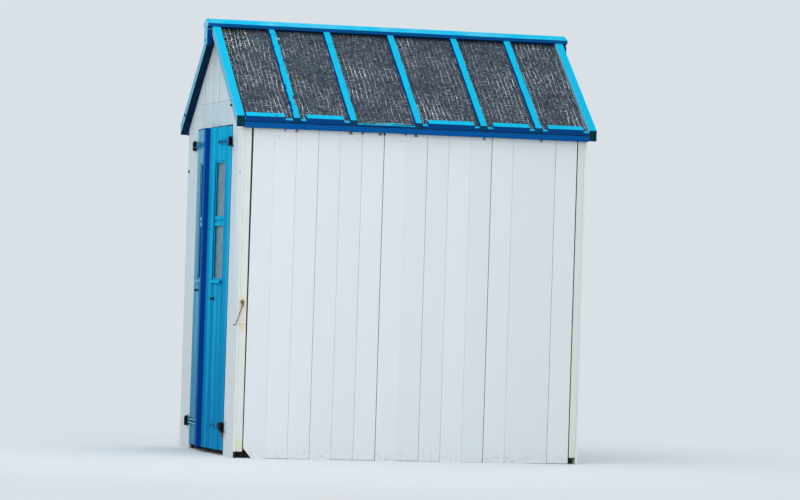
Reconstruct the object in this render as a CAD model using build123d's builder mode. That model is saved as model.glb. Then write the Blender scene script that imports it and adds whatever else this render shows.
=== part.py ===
from build123d import *
from math import cos, radians, sin, tan
import os

os.makedirs("parts", exist_ok=True)

# Timber beach hut, in millimetres. The doors face -Y, the ridge runs along Y and Z is up.
# The origin is the centre of the hut's footprint on the ground.

# Walls
wall_width = 1500.0
wall_depth = 2145.0
board_thickness = 18.0
front_board_thickness = 14.0
corner_post_width = 50.0
corner_return = 56.0
corner_post_bottom = 38.0
post_to_wall_gap = 5.0
side_chamfer_run = 51.0
side_chamfer_rise = 60.0

# Floor
bearer_width = 45.0
bearer_height = 75.0
bearer_spacing = 620.0
floor_thickness = 20.0

# Roof
roof_pitch = 38.0
eave_height = 1995.3
eave_overhang = 40.0
felt_thickness = 3.0
deck_thickness = 16.0
fascia_thickness = 18.0
fascia_height = 34.5
verge_width = 48.0
verge_depth = 53.0
batten_thickness = 25.0
batten_width = 44.0
first_batten = 320.0
batten_spacing = 347.0
ridge_seat_width = 45.0
ridge_half_width = 64.0
ridge_side_height = 23.0
ridge_crown_rise = 31.0
ridge_to_batten_gap = 4.0
apex_board_width = 90.0
apex_board_thickness = 32.0
apex_board_drop = 92.0
eave_strip_width = 40.0
eave_strip_fit_gap = 1.0
eave_stub_width = 20.0
eave_stub_thickness = 12.0
eave_stub_length = 36.0
first_stub_front_length = 9.0
first_stub_back_length = 49.0
worn_bay = 2

# Frame members inside
frame_width = 45.0
frame_depth = 35.0
ridge_beam_width = 32.0
ridge_beam_height = 90.0
purlin_place = 500.0
mid_rail_height = 980.0

# Doorway and leaves
doorway_half_width = 480.0
doorway_drop = 10.3
leaf_side_gap = 5.0
leaf_top_gap = 7.0
leaf_bottom = 30.0
leaf_ajar = 3.5
meeting_gap = 6.0
leaf_board_thickness = 18.0
ledge_thickness = 22.0
ledge_height = 120.0
ledge_end_gap = 30.0
window_height = 723.0
window_to_leaf_top = 205.0
leaf_stile = 133.0
sash_width = 12.0
sash_depth = 24.0
sash_recess = 6.0
glazing_bar_height = 58.0
glazing_bar_rise = 358.0
glazing_groove_height = 14.0
glazing_groove_depth = 6.0
glass_thickness = 4.0
glass_recess = 14.0
sill_height = 18.0
sill_front_height = 12.0
sill_reach = 18.0
sill_overlap = 12.0
astragal_width = 52.0
astragal_depth = 29.0
astragal_round = 5.0
knob_radius = 8.0
knob_reach = 24.0
knob_head_depth = 13.0
knob_round = 4.0
knob_stem_radius = 4.5
knob_rose_radius = 11.0
knob_rose_thickness = 3.0
left_knob_setback = 280.0
left_knob_drop = 47.0
right_knob_setback = 190.0
right_knob_drop = 95.0

# Hinges
pin_side_offset = 20.0
pin_radius = 7.0
pin_reach = 18.0
pin_end_gap = 8.0
pin_running_gap = 0.06
strap_thickness = 4.0
strap_height = 45.0
strap_length = 300.0
strap_tip_height = 26.0
strap_tip_round = 8.0
strap_neck = 28.0
strap_crank = 16.0
strap_full_height_length = 34.0
lower_hinge_rise = 142.0
upper_hinge_drop = 94.0
plate_width = 60.0
plate_height = 66.0
plate_thickness = 5.0
plate_gap = 4.0
lug_height = 8.0
lug_gap = 0.5

# Cabin hooks
hook_place = 29.0
hook_height = 910.0
hook_wire = 2.0
hook_shaft_radius = 2.6
screw_eye_radius = 7.0
screw_eye_reach = 13.0
hook_eye_radius = 6.5
hook_eye_drop = 2.0
hook_length = 133.0
left_hook_lean = 0.0
right_hook_lean = 18.0
hook_tip_radius = 11.0
hook_tip_sweep = 115.0
wire_sides = 8

half_width = wall_width / 2
half_depth = wall_depth / 2
front = -half_depth
slope_cos = cos(radians(roof_pitch))
slope_sin = sin(radians(roof_pitch))
slope_tan = tan(radians(roof_pitch))
deck_under = -felt_thickness - deck_thickness
eave_reach = half_width + eave_overhang
felt_apex = eave_height + slope_tan * eave_reach
doorway_head = eave_height - doorway_drop
leaf_top = doorway_head - leaf_top_gap
window_top = leaf_top - window_to_leaf_top
window_bottom = window_top - window_height
pin_place = doorway_half_width + pin_side_offset
pin_y = front - pin_reach
hinge_heights = (leaf_bottom + lower_hinge_rise, leaf_top - upper_hinge_drop)


def roof_height(reach, lift):
    """Height of the plane that lies lift above the felt, at a distance from the ridge."""
    return felt_apex - slope_tan * reach + lift / slope_cos


def slope_point(run, lift, side):
    """Point on a slope: run down it from the ridge, lift square to the felt."""
    reach = run * slope_cos + lift * slope_sin
    return (side * reach, felt_apex - run * slope_sin + lift * slope_cos)


def tapered_strip(side, start_run, lower, upper):
    """Outline of a strip down a slope: its top end is square and its eave end plumb."""
    return (
        slope_point(start_run, lower, side),
        (side * eave_reach, roof_height(eave_reach, lower)),
        (side * eave_reach, roof_height(eave_reach, upper)),
        slope_point(start_run, upper, side),
    )


def sheet_outline(side, reach, lower, upper):
    """Outline of a sheet over a whole slope, cut plumb at the ridge and at reach."""
    return (
        (0, roof_height(0, lower)),
        (side * reach, roof_height(reach, lower)),
        (side * reach, roof_height(reach, upper)),
        (0, roof_height(0, upper)),
    )


def block(low, high):
    """Box between two corners."""
    with BuildPart() as piece:
        with Locations([(low[0], low[1], low[2])]):
            Box(
                high[0] - low[0],
                high[1] - low[1],
                high[2] - low[2],
                align=(Align.MIN, Align.MIN, Align.MIN),
            )
    return piece


def prism(points, *spans):
    """Outline in X and Z, drawn out along Y over each span of start and end."""
    with BuildPart() as wall:
        for start, end in spans:
            with BuildSketch(Plane.XZ.offset(-start)):
                with BuildLine():
                    Polyline(*points, close=True)
                make_face()
            extrude(amount=start - end)
    return wall


def save(piece, name):
    """Label a finished piece and write its file."""
    piece.part.label = name
    export_step(piece.part, f"parts/{name}.step")


def save_ajar(piece, name, side):
    """Swing a piece of a closed leaf out on its hinge pins to rest ajar, and write its file."""
    hinge_line = Axis((side * pin_place, pin_y, 0), (0, 0, 1))
    leaf_piece = piece.part.rotate(hinge_line, side * leaf_ajar)
    leaf_piece.label = name
    export_step(leaf_piece, f"parts/{name}.step")


# Floor
with BuildPart() as floor:
    with Locations([(0, 0, bearer_height + floor_thickness / 2)]):
        Box(
            wall_width - 2 * board_thickness,
            wall_depth - 2 * corner_return,
            floor_thickness,
        )
save(floor, "floor")

with BuildPart() as floor_bearers:
    with GridLocations(bearer_spacing, 1, 3, 1):
        Box(
            bearer_width,
            wall_depth - 2 * corner_return,
            bearer_height,
            align=(Align.CENTER, Align.CENTER, Align.MIN),
        )
save(floor_bearers, "floor_bearers")

# Front wall
for side, name in ((-1, "left"), (1, "right")):
    front_wall = prism(
        (
            (side * doorway_half_width, 0),
            (side * half_width, 0),
            (side * half_width, roof_height(half_width, deck_under)),
            (side * doorway_half_width, roof_height(doorway_half_width, deck_under)),
        ),
        (front, front + front_board_thickness),
    )
    save(front_wall, f"front_wall_{name}")

front_gable = prism(
    (
        (-doorway_half_width, doorway_head),
        (doorway_half_width, doorway_head),
        (doorway_half_width, roof_height(doorway_half_width, deck_under)),
        (0, roof_height(0, deck_under)),
        (-doorway_half_width, roof_height(doorway_half_width, deck_under)),
    ),
    (front, front + front_board_thickness),
)
save(front_gable, "front_gable")

# Back wall
back_wall = prism(
    (
        (-half_width, 0),
        (half_width, 0),
        (half_width, roof_height(half_width, deck_under)),
        (0, roof_height(0, deck_under)),
        (-half_width, roof_height(half_width, deck_under)),
    ),
    (half_depth - front_board_thickness, half_depth),
)
save(back_wall, "back_wall")

# Corner posts, whose outer faces show beside the side walls
post_start = half_depth - corner_return
post_end = half_depth - front_board_thickness
with BuildPart() as corner_posts:
    with Locations([
        (side * (half_width - corner_post_width / 2), end * (post_start + post_end) / 2, corner_post_bottom)
        for side in (-1, 1)
        for end in (-1, 1)
    ]):
        Box(
            corner_post_width,
            post_end - post_start,
            roof_height(half_width, deck_under) - corner_post_bottom,
            align=(Align.CENTER, Align.CENTER, Align.MIN),
        )
save(corner_posts, "corner_posts")

# Side walls, each with its lower front corner cut away
side_length = wall_depth - 2 * (corner_return + post_to_wall_gap)
for side, name in ((-1, "left"), (1, "right")):
    with BuildPart() as side_wall:
        with BuildSketch(Plane.YZ.offset(side * half_width)):
            with BuildLine():
                Polyline(
                    (-side_length / 2, side_chamfer_rise),
                    (-side_length / 2 + side_chamfer_run, 0),
                    (side_length / 2, 0),
                    (side_length / 2, roof_height(half_width, deck_under)),
                    (-side_length / 2, roof_height(half_width, deck_under)),
                    close=True,
                )
            make_face()
        extrude(amount=-side * board_thickness)
    save(side_wall, f"side_wall_{name}")

# Frame inside the walls
rail_reach = half_width - board_thickness - frame_depth / 2
plate_top = roof_height(half_width - board_thickness, deck_under)
with BuildPart() as wall_rails:
    with Locations([
        (side * rail_reach, 0, middle)
        for side in (-1, 1)
        for middle in (mid_rail_height, plate_top - frame_width / 2)
    ]):
        Box(frame_depth, wall_depth - 2 * corner_return, frame_width)
save(wall_rails, "wall_rails")

with BuildPart() as door_posts:
    with Locations([
        (side * (doorway_half_width + frame_width / 2), front + front_board_thickness, 0)
        for side in (-1, 1)
    ]):
        Box(
            frame_width,
            corner_return - front_board_thickness,
            roof_height(doorway_half_width + frame_width, deck_under),
            align=(Align.CENTER, Align.MIN, Align.MIN),
        )
save(door_posts, "door_posts")

door_head = block(
    (-doorway_half_width, front + front_board_thickness, doorway_head),
    (doorway_half_width, front + corner_return, doorway_head + frame_width),
)
save(door_head, "door_head")

ridge_beam_top = roof_height(ridge_beam_width / 2, deck_under)
ridge_beam = block(
    (-ridge_beam_width / 2, front + front_board_thickness, ridge_beam_top - ridge_beam_height),
    (ridge_beam_width / 2, half_depth - front_board_thickness, ridge_beam_top),
)
save(ridge_beam, "ridge_beam")

with BuildPart() as purlins:
    for side in (-1, 1):
        with BuildSketch(Plane.XZ.offset(-(front + front_board_thickness))):
            with BuildLine():
                Polyline(
                    slope_point(purlin_place, deck_under, side),
                    slope_point(purlin_place + frame_width, deck_under, side),
                    slope_point(purlin_place + frame_width, deck_under - frame_width, side),
                    slope_point(purlin_place, deck_under - frame_width, side),
                    close=True,
                )
            make_face()
        extrude(amount=-(wall_depth - 2 * front_board_thickness))
save(purlins, "purlins")

# Roof
batten_places = (
    first_batten,
    first_batten + batten_spacing,
    half_depth,
    wall_depth - first_batten - batten_spacing,
    wall_depth - first_batten,
)
bay_starts = (0, *[place + batten_width / 2 for place in batten_places])
bay_ends = (*[place - batten_width / 2 for place in batten_places], wall_depth)
eave_stubs = [
    (front + start + eave_strip_fit_gap, front + end - eave_strip_fit_gap)
    for start, end in zip(bay_starts, bay_ends)
]
eave_strips = [
    (start + eave_stub_length, end - eave_stub_length) for start, end in eave_stubs
]
eave_strips[0] = (
    eave_stubs[0][0] + first_stub_front_length,
    eave_stubs[0][1] - first_stub_back_length,
)
verge_front = front - verge_width
verge_back = half_depth + verge_width
for side, name in ((-1, "left"), (1, "right")):
    deck = prism(
        sheet_outline(side, eave_reach - fascia_thickness, deck_under, -felt_thickness),
        (front, half_depth),
    )
    save(deck, f"roof_deck_{name}")

    felt = prism(sheet_outline(side, eave_reach, -felt_thickness, 0), (front, half_depth))
    save(felt, f"roof_felt_{name}")

    # Ridge board seated on the felt, with a lip that laps over the battens and verges
    ridge_side_foot = roof_height(ridge_half_width, batten_thickness)
    ridge_shoulder = ridge_side_foot + ridge_side_height
    ridge_board = prism(
        (
            (0, roof_height(0, 0)),
            slope_point(ridge_seat_width, 0, side),
            slope_point(ridge_seat_width, batten_thickness, side),
            (side * ridge_half_width, ridge_side_foot),
            (side * ridge_half_width, ridge_shoulder),
            (0, ridge_shoulder + ridge_crown_rise),
        ),
        (verge_front - apex_board_thickness, verge_back + apex_board_thickness),
    )
    save(ridge_board, f"ridge_board_{name}")

    batten_start = ridge_seat_width + ridge_to_batten_gap
    roof_battens = prism(
        tapered_strip(side, batten_start, 0, batten_thickness),
        *[
            (front + place - batten_width / 2, front + place + batten_width / 2)
            for place in batten_places
        ],
    )
    save(roof_battens, f"roof_battens_{name}")

    # Eave strips: sound in the middle of a bay, and worn down to a stub beside each batten
    worn = worn_bay if side > 0 else None
    with BuildPart() as eave_strip_row:
        for width, thickness, spans in (
            (eave_stub_width, eave_stub_thickness, eave_stubs),
            (
                eave_strip_width,
                batten_thickness,
                [span for bay, span in enumerate(eave_strips) if bay != worn],
            ),
        ):
            strip_start = (eave_reach - thickness * slope_sin) / slope_cos - width
            add(prism(tapered_strip(side, strip_start, 0, thickness), *spans).part)
    save(eave_strip_row, f"eave_strips_{name}")

    # Verge timbers, notched where the ridge board passes over them
    verge_under = batten_thickness - verge_depth
    verge_outline = (
        (0, roof_height(0, 0)),
        slope_point(ridge_seat_width, 0, side),
        slope_point(ridge_seat_width, batten_thickness, side),
        (side * eave_reach, roof_height(eave_reach, batten_thickness)),
        (side * eave_reach, roof_height(eave_reach, verge_under)),
        (0, roof_height(0, verge_under)),
    )
    save(prism(verge_outline, (verge_front, front)), f"front_verge_{name}")
    save(prism(verge_outline, (half_depth, verge_back)), f"back_verge_{name}")

# Upright board over each pair of verges, under the end of the ridge boards
apex_board_foot = roof_height(0, batten_thickness - verge_depth) - apex_board_drop
apex_boards = prism(
    (
        (-apex_board_width / 2, apex_board_foot),
        (apex_board_width / 2, apex_board_foot),
        (apex_board_width / 2, roof_height(apex_board_width / 2, 0)),
        (0, roof_height(0, 0)),
        (-apex_board_width / 2, roof_height(apex_board_width / 2, 0)),
    ),
    (verge_front - apex_board_thickness, verge_front),
    (verge_back, verge_back + apex_board_thickness),
)
save(apex_boards, "apex_boards")

fascia_top = roof_height(eave_reach, -felt_thickness)
with BuildPart() as fascias:
    with Locations([
        (side * (eave_reach - fascia_thickness / 2), 0, fascia_top) for side in (-1, 1)
    ]):
        Box(
            fascia_thickness,
            wall_depth,
            fascia_height,
            align=(Align.CENTER, Align.CENTER, Align.MAX),
        )
save(fascias, "fascias")

# Door leaves, drawn closed and then swung ajar
leaf_edge = doorway_half_width - leaf_side_gap
meeting_edge = meeting_gap / 2
leaf_width = leaf_edge - meeting_edge
for side, name in ((-1, "left"), (1, "right")):
    leaf_middle = side * (leaf_edge + meeting_edge) / 2
    window_width = leaf_width - 2 * leaf_stile
    window_centre = (leaf_middle, (window_bottom + window_top) / 2)
    with BuildPart() as boards:
        with BuildSketch(Plane.XZ.offset(-front)):
            with Locations([(leaf_middle, (leaf_bottom + leaf_top) / 2)]):
                Rectangle(leaf_width, leaf_top - leaf_bottom)
            with Locations([window_centre]):
                Rectangle(window_width, window_height, mode=Mode.SUBTRACT)
        extrude(amount=-leaf_board_thickness)
    save_ajar(boards, f"door_boards_{name}", side)

    # Ledges behind the boards: at each hinge and under the window
    ledge_middles = (*hinge_heights, window_bottom - sill_height - ledge_height / 2)
    with BuildPart() as ledges:
        with Locations([
            (leaf_middle, front + leaf_board_thickness, height) for height in ledge_middles
        ]):
            Box(
                leaf_width - 2 * ledge_end_gap,
                ledge_thickness,
                ledge_height,
                align=(Align.CENTER, Align.MIN, Align.CENTER),
            )
    save_ajar(ledges, f"door_ledges_{name}", side)

    # Sash with two panes, set back in the leaf, its bar grooved between two beads
    bar_middle = window_bottom + glazing_bar_rise
    lower_pane = (window_bottom + sash_width, bar_middle - glazing_bar_height / 2)
    upper_pane = (bar_middle + glazing_bar_height / 2, window_top - sash_width)
    pane_width = window_width - 2 * sash_width
    with BuildPart() as sash:
        with BuildSketch(Plane.XZ.offset(-(front + sash_recess))):
            with Locations([window_centre]):
                Rectangle(window_width, window_height)
            for bottom, top in (lower_pane, upper_pane):
                with Locations([(leaf_middle, (bottom + top) / 2)]):
                    Rectangle(pane_width, top - bottom, mode=Mode.SUBTRACT)
        extrude(amount=-sash_depth)
        with Locations([(leaf_middle, front + sash_recess, bar_middle)]):
            Box(
                pane_width,
                glazing_groove_depth,
                glazing_groove_height,
                align=(Align.CENTER, Align.MIN, Align.CENTER),
                mode=Mode.SUBTRACT,
            )
    save_ajar(sash, f"window_sash_{name}", side)

    with BuildPart() as glass:
        for bottom, top in (lower_pane, upper_pane):
            with Locations([(leaf_middle, front + glass_recess, (bottom + top) / 2)]):
                Box(
                    pane_width,
                    glass_thickness,
                    top - bottom,
                    align=(Align.CENTER, Align.MIN, Align.CENTER),
                )
    save_ajar(glass, f"window_glass_{name}", side)

    # Sill that sheds water: its top falls towards the front
    sill_width = window_width + 2 * sill_overlap
    with BuildPart() as sill:
        with BuildSketch(Plane.YZ.offset(leaf_middle - sill_width / 2)):
            with BuildLine():
                Polyline(
                    (front, window_bottom - sill_height),
                    (front - sill_reach, window_bottom - sill_height),
                    (front - sill_reach, window_bottom - sill_height + sill_front_height),
                    (front, window_bottom),
                    close=True,
                )
            make_face()
        extrude(amount=sill_width)
    save_ajar(sill, f"window_sill_{name}", side)

# Cover strip on the left leaf's free edge
with BuildPart() as astragal:
    with BuildSketch(Plane.XY.offset(leaf_bottom)):
        with Locations([(-meeting_edge, front)]):
            Rectangle(astragal_width, astragal_depth, align=(Align.MAX, Align.MAX))
    extrude(amount=leaf_top - leaf_bottom)
    fillet(
        astragal.edges().filter_by(Axis.Z).group_by(Axis.Y)[0],
        astragal_round,
    )
save_ajar(astragal, "astragal", -1)

# Iron knob on each leaf, on a flat rose below the window
for side, name, setback, drop in (
    (-1, "left", left_knob_setback, left_knob_drop),
    (1, "right", right_knob_setback, right_knob_drop),
):
    knob_place = (side * (meeting_edge + setback), front, window_bottom - sill_height - drop)
    stem_length = knob_reach - knob_head_depth
    with BuildPart(Plane(knob_place, x_dir=(1, 0, 0), z_dir=(0, -1, 0))) as knob:
        Cylinder(knob_rose_radius, knob_rose_thickness, align=(Align.CENTER, Align.CENTER, Align.MIN))
        Cylinder(knob_stem_radius, stem_length, align=(Align.CENTER, Align.CENTER, Align.MIN))
        with Locations([(0, 0, stem_length)]):
            Cylinder(knob_radius, knob_head_depth, align=(Align.CENTER, Align.CENTER, Align.MIN))
        fillet(knob.edges().group_by(Axis.Y)[0], knob_round)
    save_ajar(knob, f"door_knob_{name}", side)

# Hinges: a strap with a rolled eye turns on a pin that its plate carries
eye_radius = pin_radius + pin_running_gap
eye_outer = eye_radius + strap_thickness
for side, name in ((-1, "left"), (1, "right")):
    neck_end = side * (pin_place - strap_neck)
    crank_end = side * (pin_place - strap_neck - strap_crank)
    strap_tip = side * (pin_place - strap_length)
    taper_start = side * (pin_place - strap_neck - strap_crank - strap_full_height_length)
    with BuildPart() as straps:
        for height in hinge_heights:
            with BuildSketch(Plane.XY.offset(height - strap_height / 2)):
                with BuildLine():
                    Polyline(
                        (side * pin_place, pin_y + eye_radius),
                        (neck_end, pin_y + eye_radius),
                        (crank_end, front - strap_thickness),
                        (strap_tip, front - strap_thickness),
                        (strap_tip, front),
                        (crank_end, front),
                        (neck_end, pin_y + eye_outer),
                        (side * pin_place, pin_y + eye_outer),
                        close=True,
                    )
                make_face()
                with Locations([(side * pin_place, pin_y)]):
                    Circle(eye_outer)
                    Circle(eye_radius, mode=Mode.SUBTRACT)
            extrude(amount=strap_height)
            for edge in (-1, 1):
                with BuildSketch(Plane.XZ.offset(-front)):
                    with BuildLine():
                        Polyline(
                            (strap_tip, height + edge * strap_tip_height / 2),
                            (strap_tip, height + edge * strap_height),
                            (taper_start, height + edge * strap_height),
                            (taper_start, height + edge * strap_height / 2),
                            close=True,
                        )
                    make_face()
                extrude(amount=strap_thickness, mode=Mode.SUBTRACT)
        tip_edges = straps.edges().filter_by(Axis.Y).group_by(Axis.X)
        fillet(tip_edges[0] if side > 0 else tip_edges[-1], strap_tip_round)
    save_ajar(straps, f"hinge_straps_{name}", side)

with BuildPart() as hinge_plates:
    for side in (-1, 1):
        plate_inner = side * (pin_place + eye_outer + plate_gap)
        plate_middle = plate_inner + side * plate_width / 2
        for height in hinge_heights:
            lug_base = height - strap_height / 2 - lug_gap - lug_height
            with Locations([(plate_middle, front, height)]):
                Box(
                    plate_width,
                    plate_thickness,
                    plate_height,
                    align=(Align.CENTER, Align.MAX, Align.CENTER),
                )
            with BuildSketch(Plane.XY.offset(lug_base)):
                with BuildLine():
                    Polyline(
                        (side * pin_place, pin_y - eye_outer),
                        (plate_middle, front - plate_thickness),
                        (plate_middle, front),
                        (plate_inner, front),
                        (side * (pin_place - eye_outer / 2), pin_y + eye_outer / 2),
                        close=True,
                    )
                make_face()
                with Locations([(side * pin_place, pin_y)]):
                    Circle(eye_outer)
            extrude(amount=lug_height)
            with Locations([(side * pin_place, pin_y, lug_base)]):
                Cylinder(
                    pin_radius,
                    lug_height + lug_gap + strap_height + pin_end_gap,
                    align=(Align.CENTER, Align.CENTER, Align.MIN),
                )
save(hinge_plates, "hinge_plates")

# Cabin hooks beside the front corners, each hanging from a screw eye: the left one hangs
# plumb and the right one has stuck leaning forward
hook_y = front + hook_place
ring_centre = hook_height + screw_eye_radius
with BuildPart() as screw_eyes:
    for side in (-1, 1):
        eye_x = side * (half_width + screw_eye_reach)
        with BuildSketch(Plane((eye_x, hook_y, ring_centre), x_dir=(1, 0, 0), z_dir=(0, 0, 1))):
            with Locations([(screw_eye_radius, 0)]):
                RegularPolygon(hook_wire, wire_sides)
        revolve(axis=Axis((eye_x, hook_y, ring_centre), (0, 1, 0)))
        with Locations([Location((side * half_width, hook_y, ring_centre), (0, side * 90, 0))]):
            Cylinder(
                hook_wire,
                screw_eye_reach - screw_eye_radius,
                align=(Align.CENTER, Align.CENTER, Align.MIN),
            )
save(screw_eyes, "screw_eyes")

for side, name, lean in ((-1, "left", left_hook_lean), (1, "right", right_hook_lean)):
    eye_x = side * (half_width + screw_eye_reach)
    hook_plane = Plane(
        origin=(eye_x, hook_y, hook_height),
        x_dir=(0, -cos(radians(lean)), sin(radians(lean))),
        z_dir=(-1, 0, 0),
    )
    tip_height = hook_tip_radius - hook_length
    with BuildPart() as hook:
        with BuildLine(hook_plane) as hook_path:
            Line((0, -hook_eye_drop - hook_eye_radius), (0, tip_height))
            CenterArc((hook_tip_radius, tip_height), hook_tip_radius, 180, hook_tip_sweep)
        with BuildSketch(Plane(origin=hook_path.line @ 0, z_dir=hook_path.line % 0)):
            RegularPolygon(hook_shaft_radius, wire_sides)
        sweep(path=hook_path.line)
        ring_plane = hook_plane.shift_origin(hook_plane.from_local_coords((0, -hook_eye_drop, 0)))
        with BuildSketch(Plane(ring_plane.origin, x_dir=(1, 0, 0), z_dir=ring_plane.y_dir)):
            with Locations([(0, hook_eye_radius)]):
                RegularPolygon(hook_wire, wire_sides)
        revolve(axis=Axis(ring_plane.origin, ring_plane.z_dir))
    save(hook, f"hook_{name}")
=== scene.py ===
import logging
import random
from collections.abc import Iterable, Sequence
from dataclasses import dataclass, field
from enum import Enum
from functools import cached_property
from math import cos, radians, sin

import bmesh
import bpy
from bmesh.types import BMEdge, BMesh
from bpy.types import Material, Node, NodeSocket, Object, World
from mathutils import Matrix, Vector, noise


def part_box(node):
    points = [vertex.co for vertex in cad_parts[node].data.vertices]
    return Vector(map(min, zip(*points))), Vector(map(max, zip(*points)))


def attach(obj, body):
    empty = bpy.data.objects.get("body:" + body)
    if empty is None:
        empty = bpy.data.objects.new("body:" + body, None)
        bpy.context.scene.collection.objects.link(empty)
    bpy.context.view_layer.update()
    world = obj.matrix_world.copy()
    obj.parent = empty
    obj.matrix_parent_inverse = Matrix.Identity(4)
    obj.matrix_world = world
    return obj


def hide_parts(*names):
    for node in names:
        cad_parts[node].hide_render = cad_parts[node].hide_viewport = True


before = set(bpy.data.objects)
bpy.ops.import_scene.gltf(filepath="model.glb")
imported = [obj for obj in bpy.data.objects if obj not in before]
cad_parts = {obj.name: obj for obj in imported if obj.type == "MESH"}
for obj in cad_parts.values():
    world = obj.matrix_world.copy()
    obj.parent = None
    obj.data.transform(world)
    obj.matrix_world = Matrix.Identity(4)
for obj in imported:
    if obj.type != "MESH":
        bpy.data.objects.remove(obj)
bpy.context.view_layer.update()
log = logging.getLogger("beach_hut")

UP = Vector((0, 0, 1))
ALONG = Vector((0, 1, 0))
ACROSS = Vector((1, 0, 0))
TINY = 1e-6
PITCH = radians(38)

Span = tuple[float, float]
SawCut = tuple[Iterable[float], Iterable[float]]


class Side(Enum):
    """Side of the hut as seen by someone who faces its doors."""

    LEFT = -1
    RIGHT = 1

    @property
    def word(self) -> str:
        """Name of the side as the frame's nodes spell it."""
        return self.name.lower()


class Grain(Enum):
    """How far a timber pattern is squeezed along each axis, by the way its grain runs."""

    ALONG_X = (1.2, 40.0, 40.0)
    ALONG_Y = (40.0, 1.2, 40.0)
    ALONG_Z = (40.0, 40.0, 1.2)


class Joint(Enum):
    """Width of the open joint between two wall boards, in metres."""

    PAINTED = 0.0001
    SHUT = 0.0002
    OPEN = 0.0011
    WIDE = 0.0028


def screen(code: str) -> tuple[float, float, float, float]:
    """Turn a screen colour into the linear colour that a shader takes.

    Args:
        code: Six hexadecimal figures, two each for red, green and blue.

    Returns:
        Linear red, green and blue with full opacity.
    """
    shares = [int(code[start:start + 2], 16) / 255 for start in (0, 2, 4)]
    linear = [
        share / 12.92 if share <= 0.04045 else ((share + 0.055) / 1.055) ** 2.4
        for share in shares
    ]
    return (*linear, 1.0)


class Wire:
    """Output of a node that can be reckoned with like a number."""

    def __init__(self, sheet: "Sheet", socket: NodeSocket) -> None:
        """Hold a socket and the sheet that it lies on."""
        self.sheet = sheet
        self.socket = socket

    def calc(self, operation: str, other: "Wire | float" = 0.0) -> "Wire":
        """Reckon with this wire and another wire or number."""
        return self.sheet.add("ShaderNodeMath", {0: self, 1: other}, operation=operation)

    def __add__(self, other: "Wire | float") -> "Wire":
        """Sum."""
        return self.calc("ADD", other)

    def __sub__(self, other: "Wire | float") -> "Wire":
        """Difference."""
        return self.calc("SUBTRACT", other)

    def __rsub__(self, other: float) -> "Wire":
        """Difference from a number."""
        return self.sheet.add("ShaderNodeMath", {0: other, 1: self}, operation="SUBTRACT")

    def __mul__(self, other: "Wire | float") -> "Wire":
        """Product."""
        return self.calc("MULTIPLY", other)

    def __neg__(self) -> "Wire":
        """Same value with the other sign."""
        return self * -1.0

    def __abs__(self) -> "Wire":
        """Size without its sign."""
        return self.calc("ABSOLUTE")

    def __lt__(self, other: float) -> "Wire":
        """Wire that is 1 where this one is less than a number."""
        return self.calc("LESS_THAN", other)

    def __gt__(self, other: float) -> "Wire":
        """Wire that is 1 where this one is greater than a number."""
        return self.calc("GREATER_THAN", other)

    def larger(self, other: "Wire | float") -> "Wire":
        """Larger of two values."""
        return self.calc("MAXIMUM", other)

    def diagonal(self, other: "Wire") -> "Wire":
        """Distance covered by two distances at right angles."""
        return (self * self + other * other).calc("SQRT")

    def saw(self) -> "Wire":
        """Distance from the middle between two whole numbers, up to 0.5."""
        return abs(self.calc("FRACT") - 0.5)

    def band(self, low: float, high: float) -> "Wire":
        """Smooth step from 0 at low to 1 at high."""
        inputs = {"Value": self, "From Min": low, "From Max": high}
        return self.sheet.add("ShaderNodeMapRange", inputs, interpolation_type="SMOOTHSTEP")

    def fall(self, low: float, high: float) -> "Wire":
        """Smooth step from 1 at low to 0 at high."""
        return 1.0 - self.band(low, high)

    def spread(self, low: float, high: float) -> "Wire":
        """Stretch a share between 0 and 1 over the range from low to high."""
        return self.sheet.add("ShaderNodeMapRange", {"Value": self, "To Min": low, "To Max": high})


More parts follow.
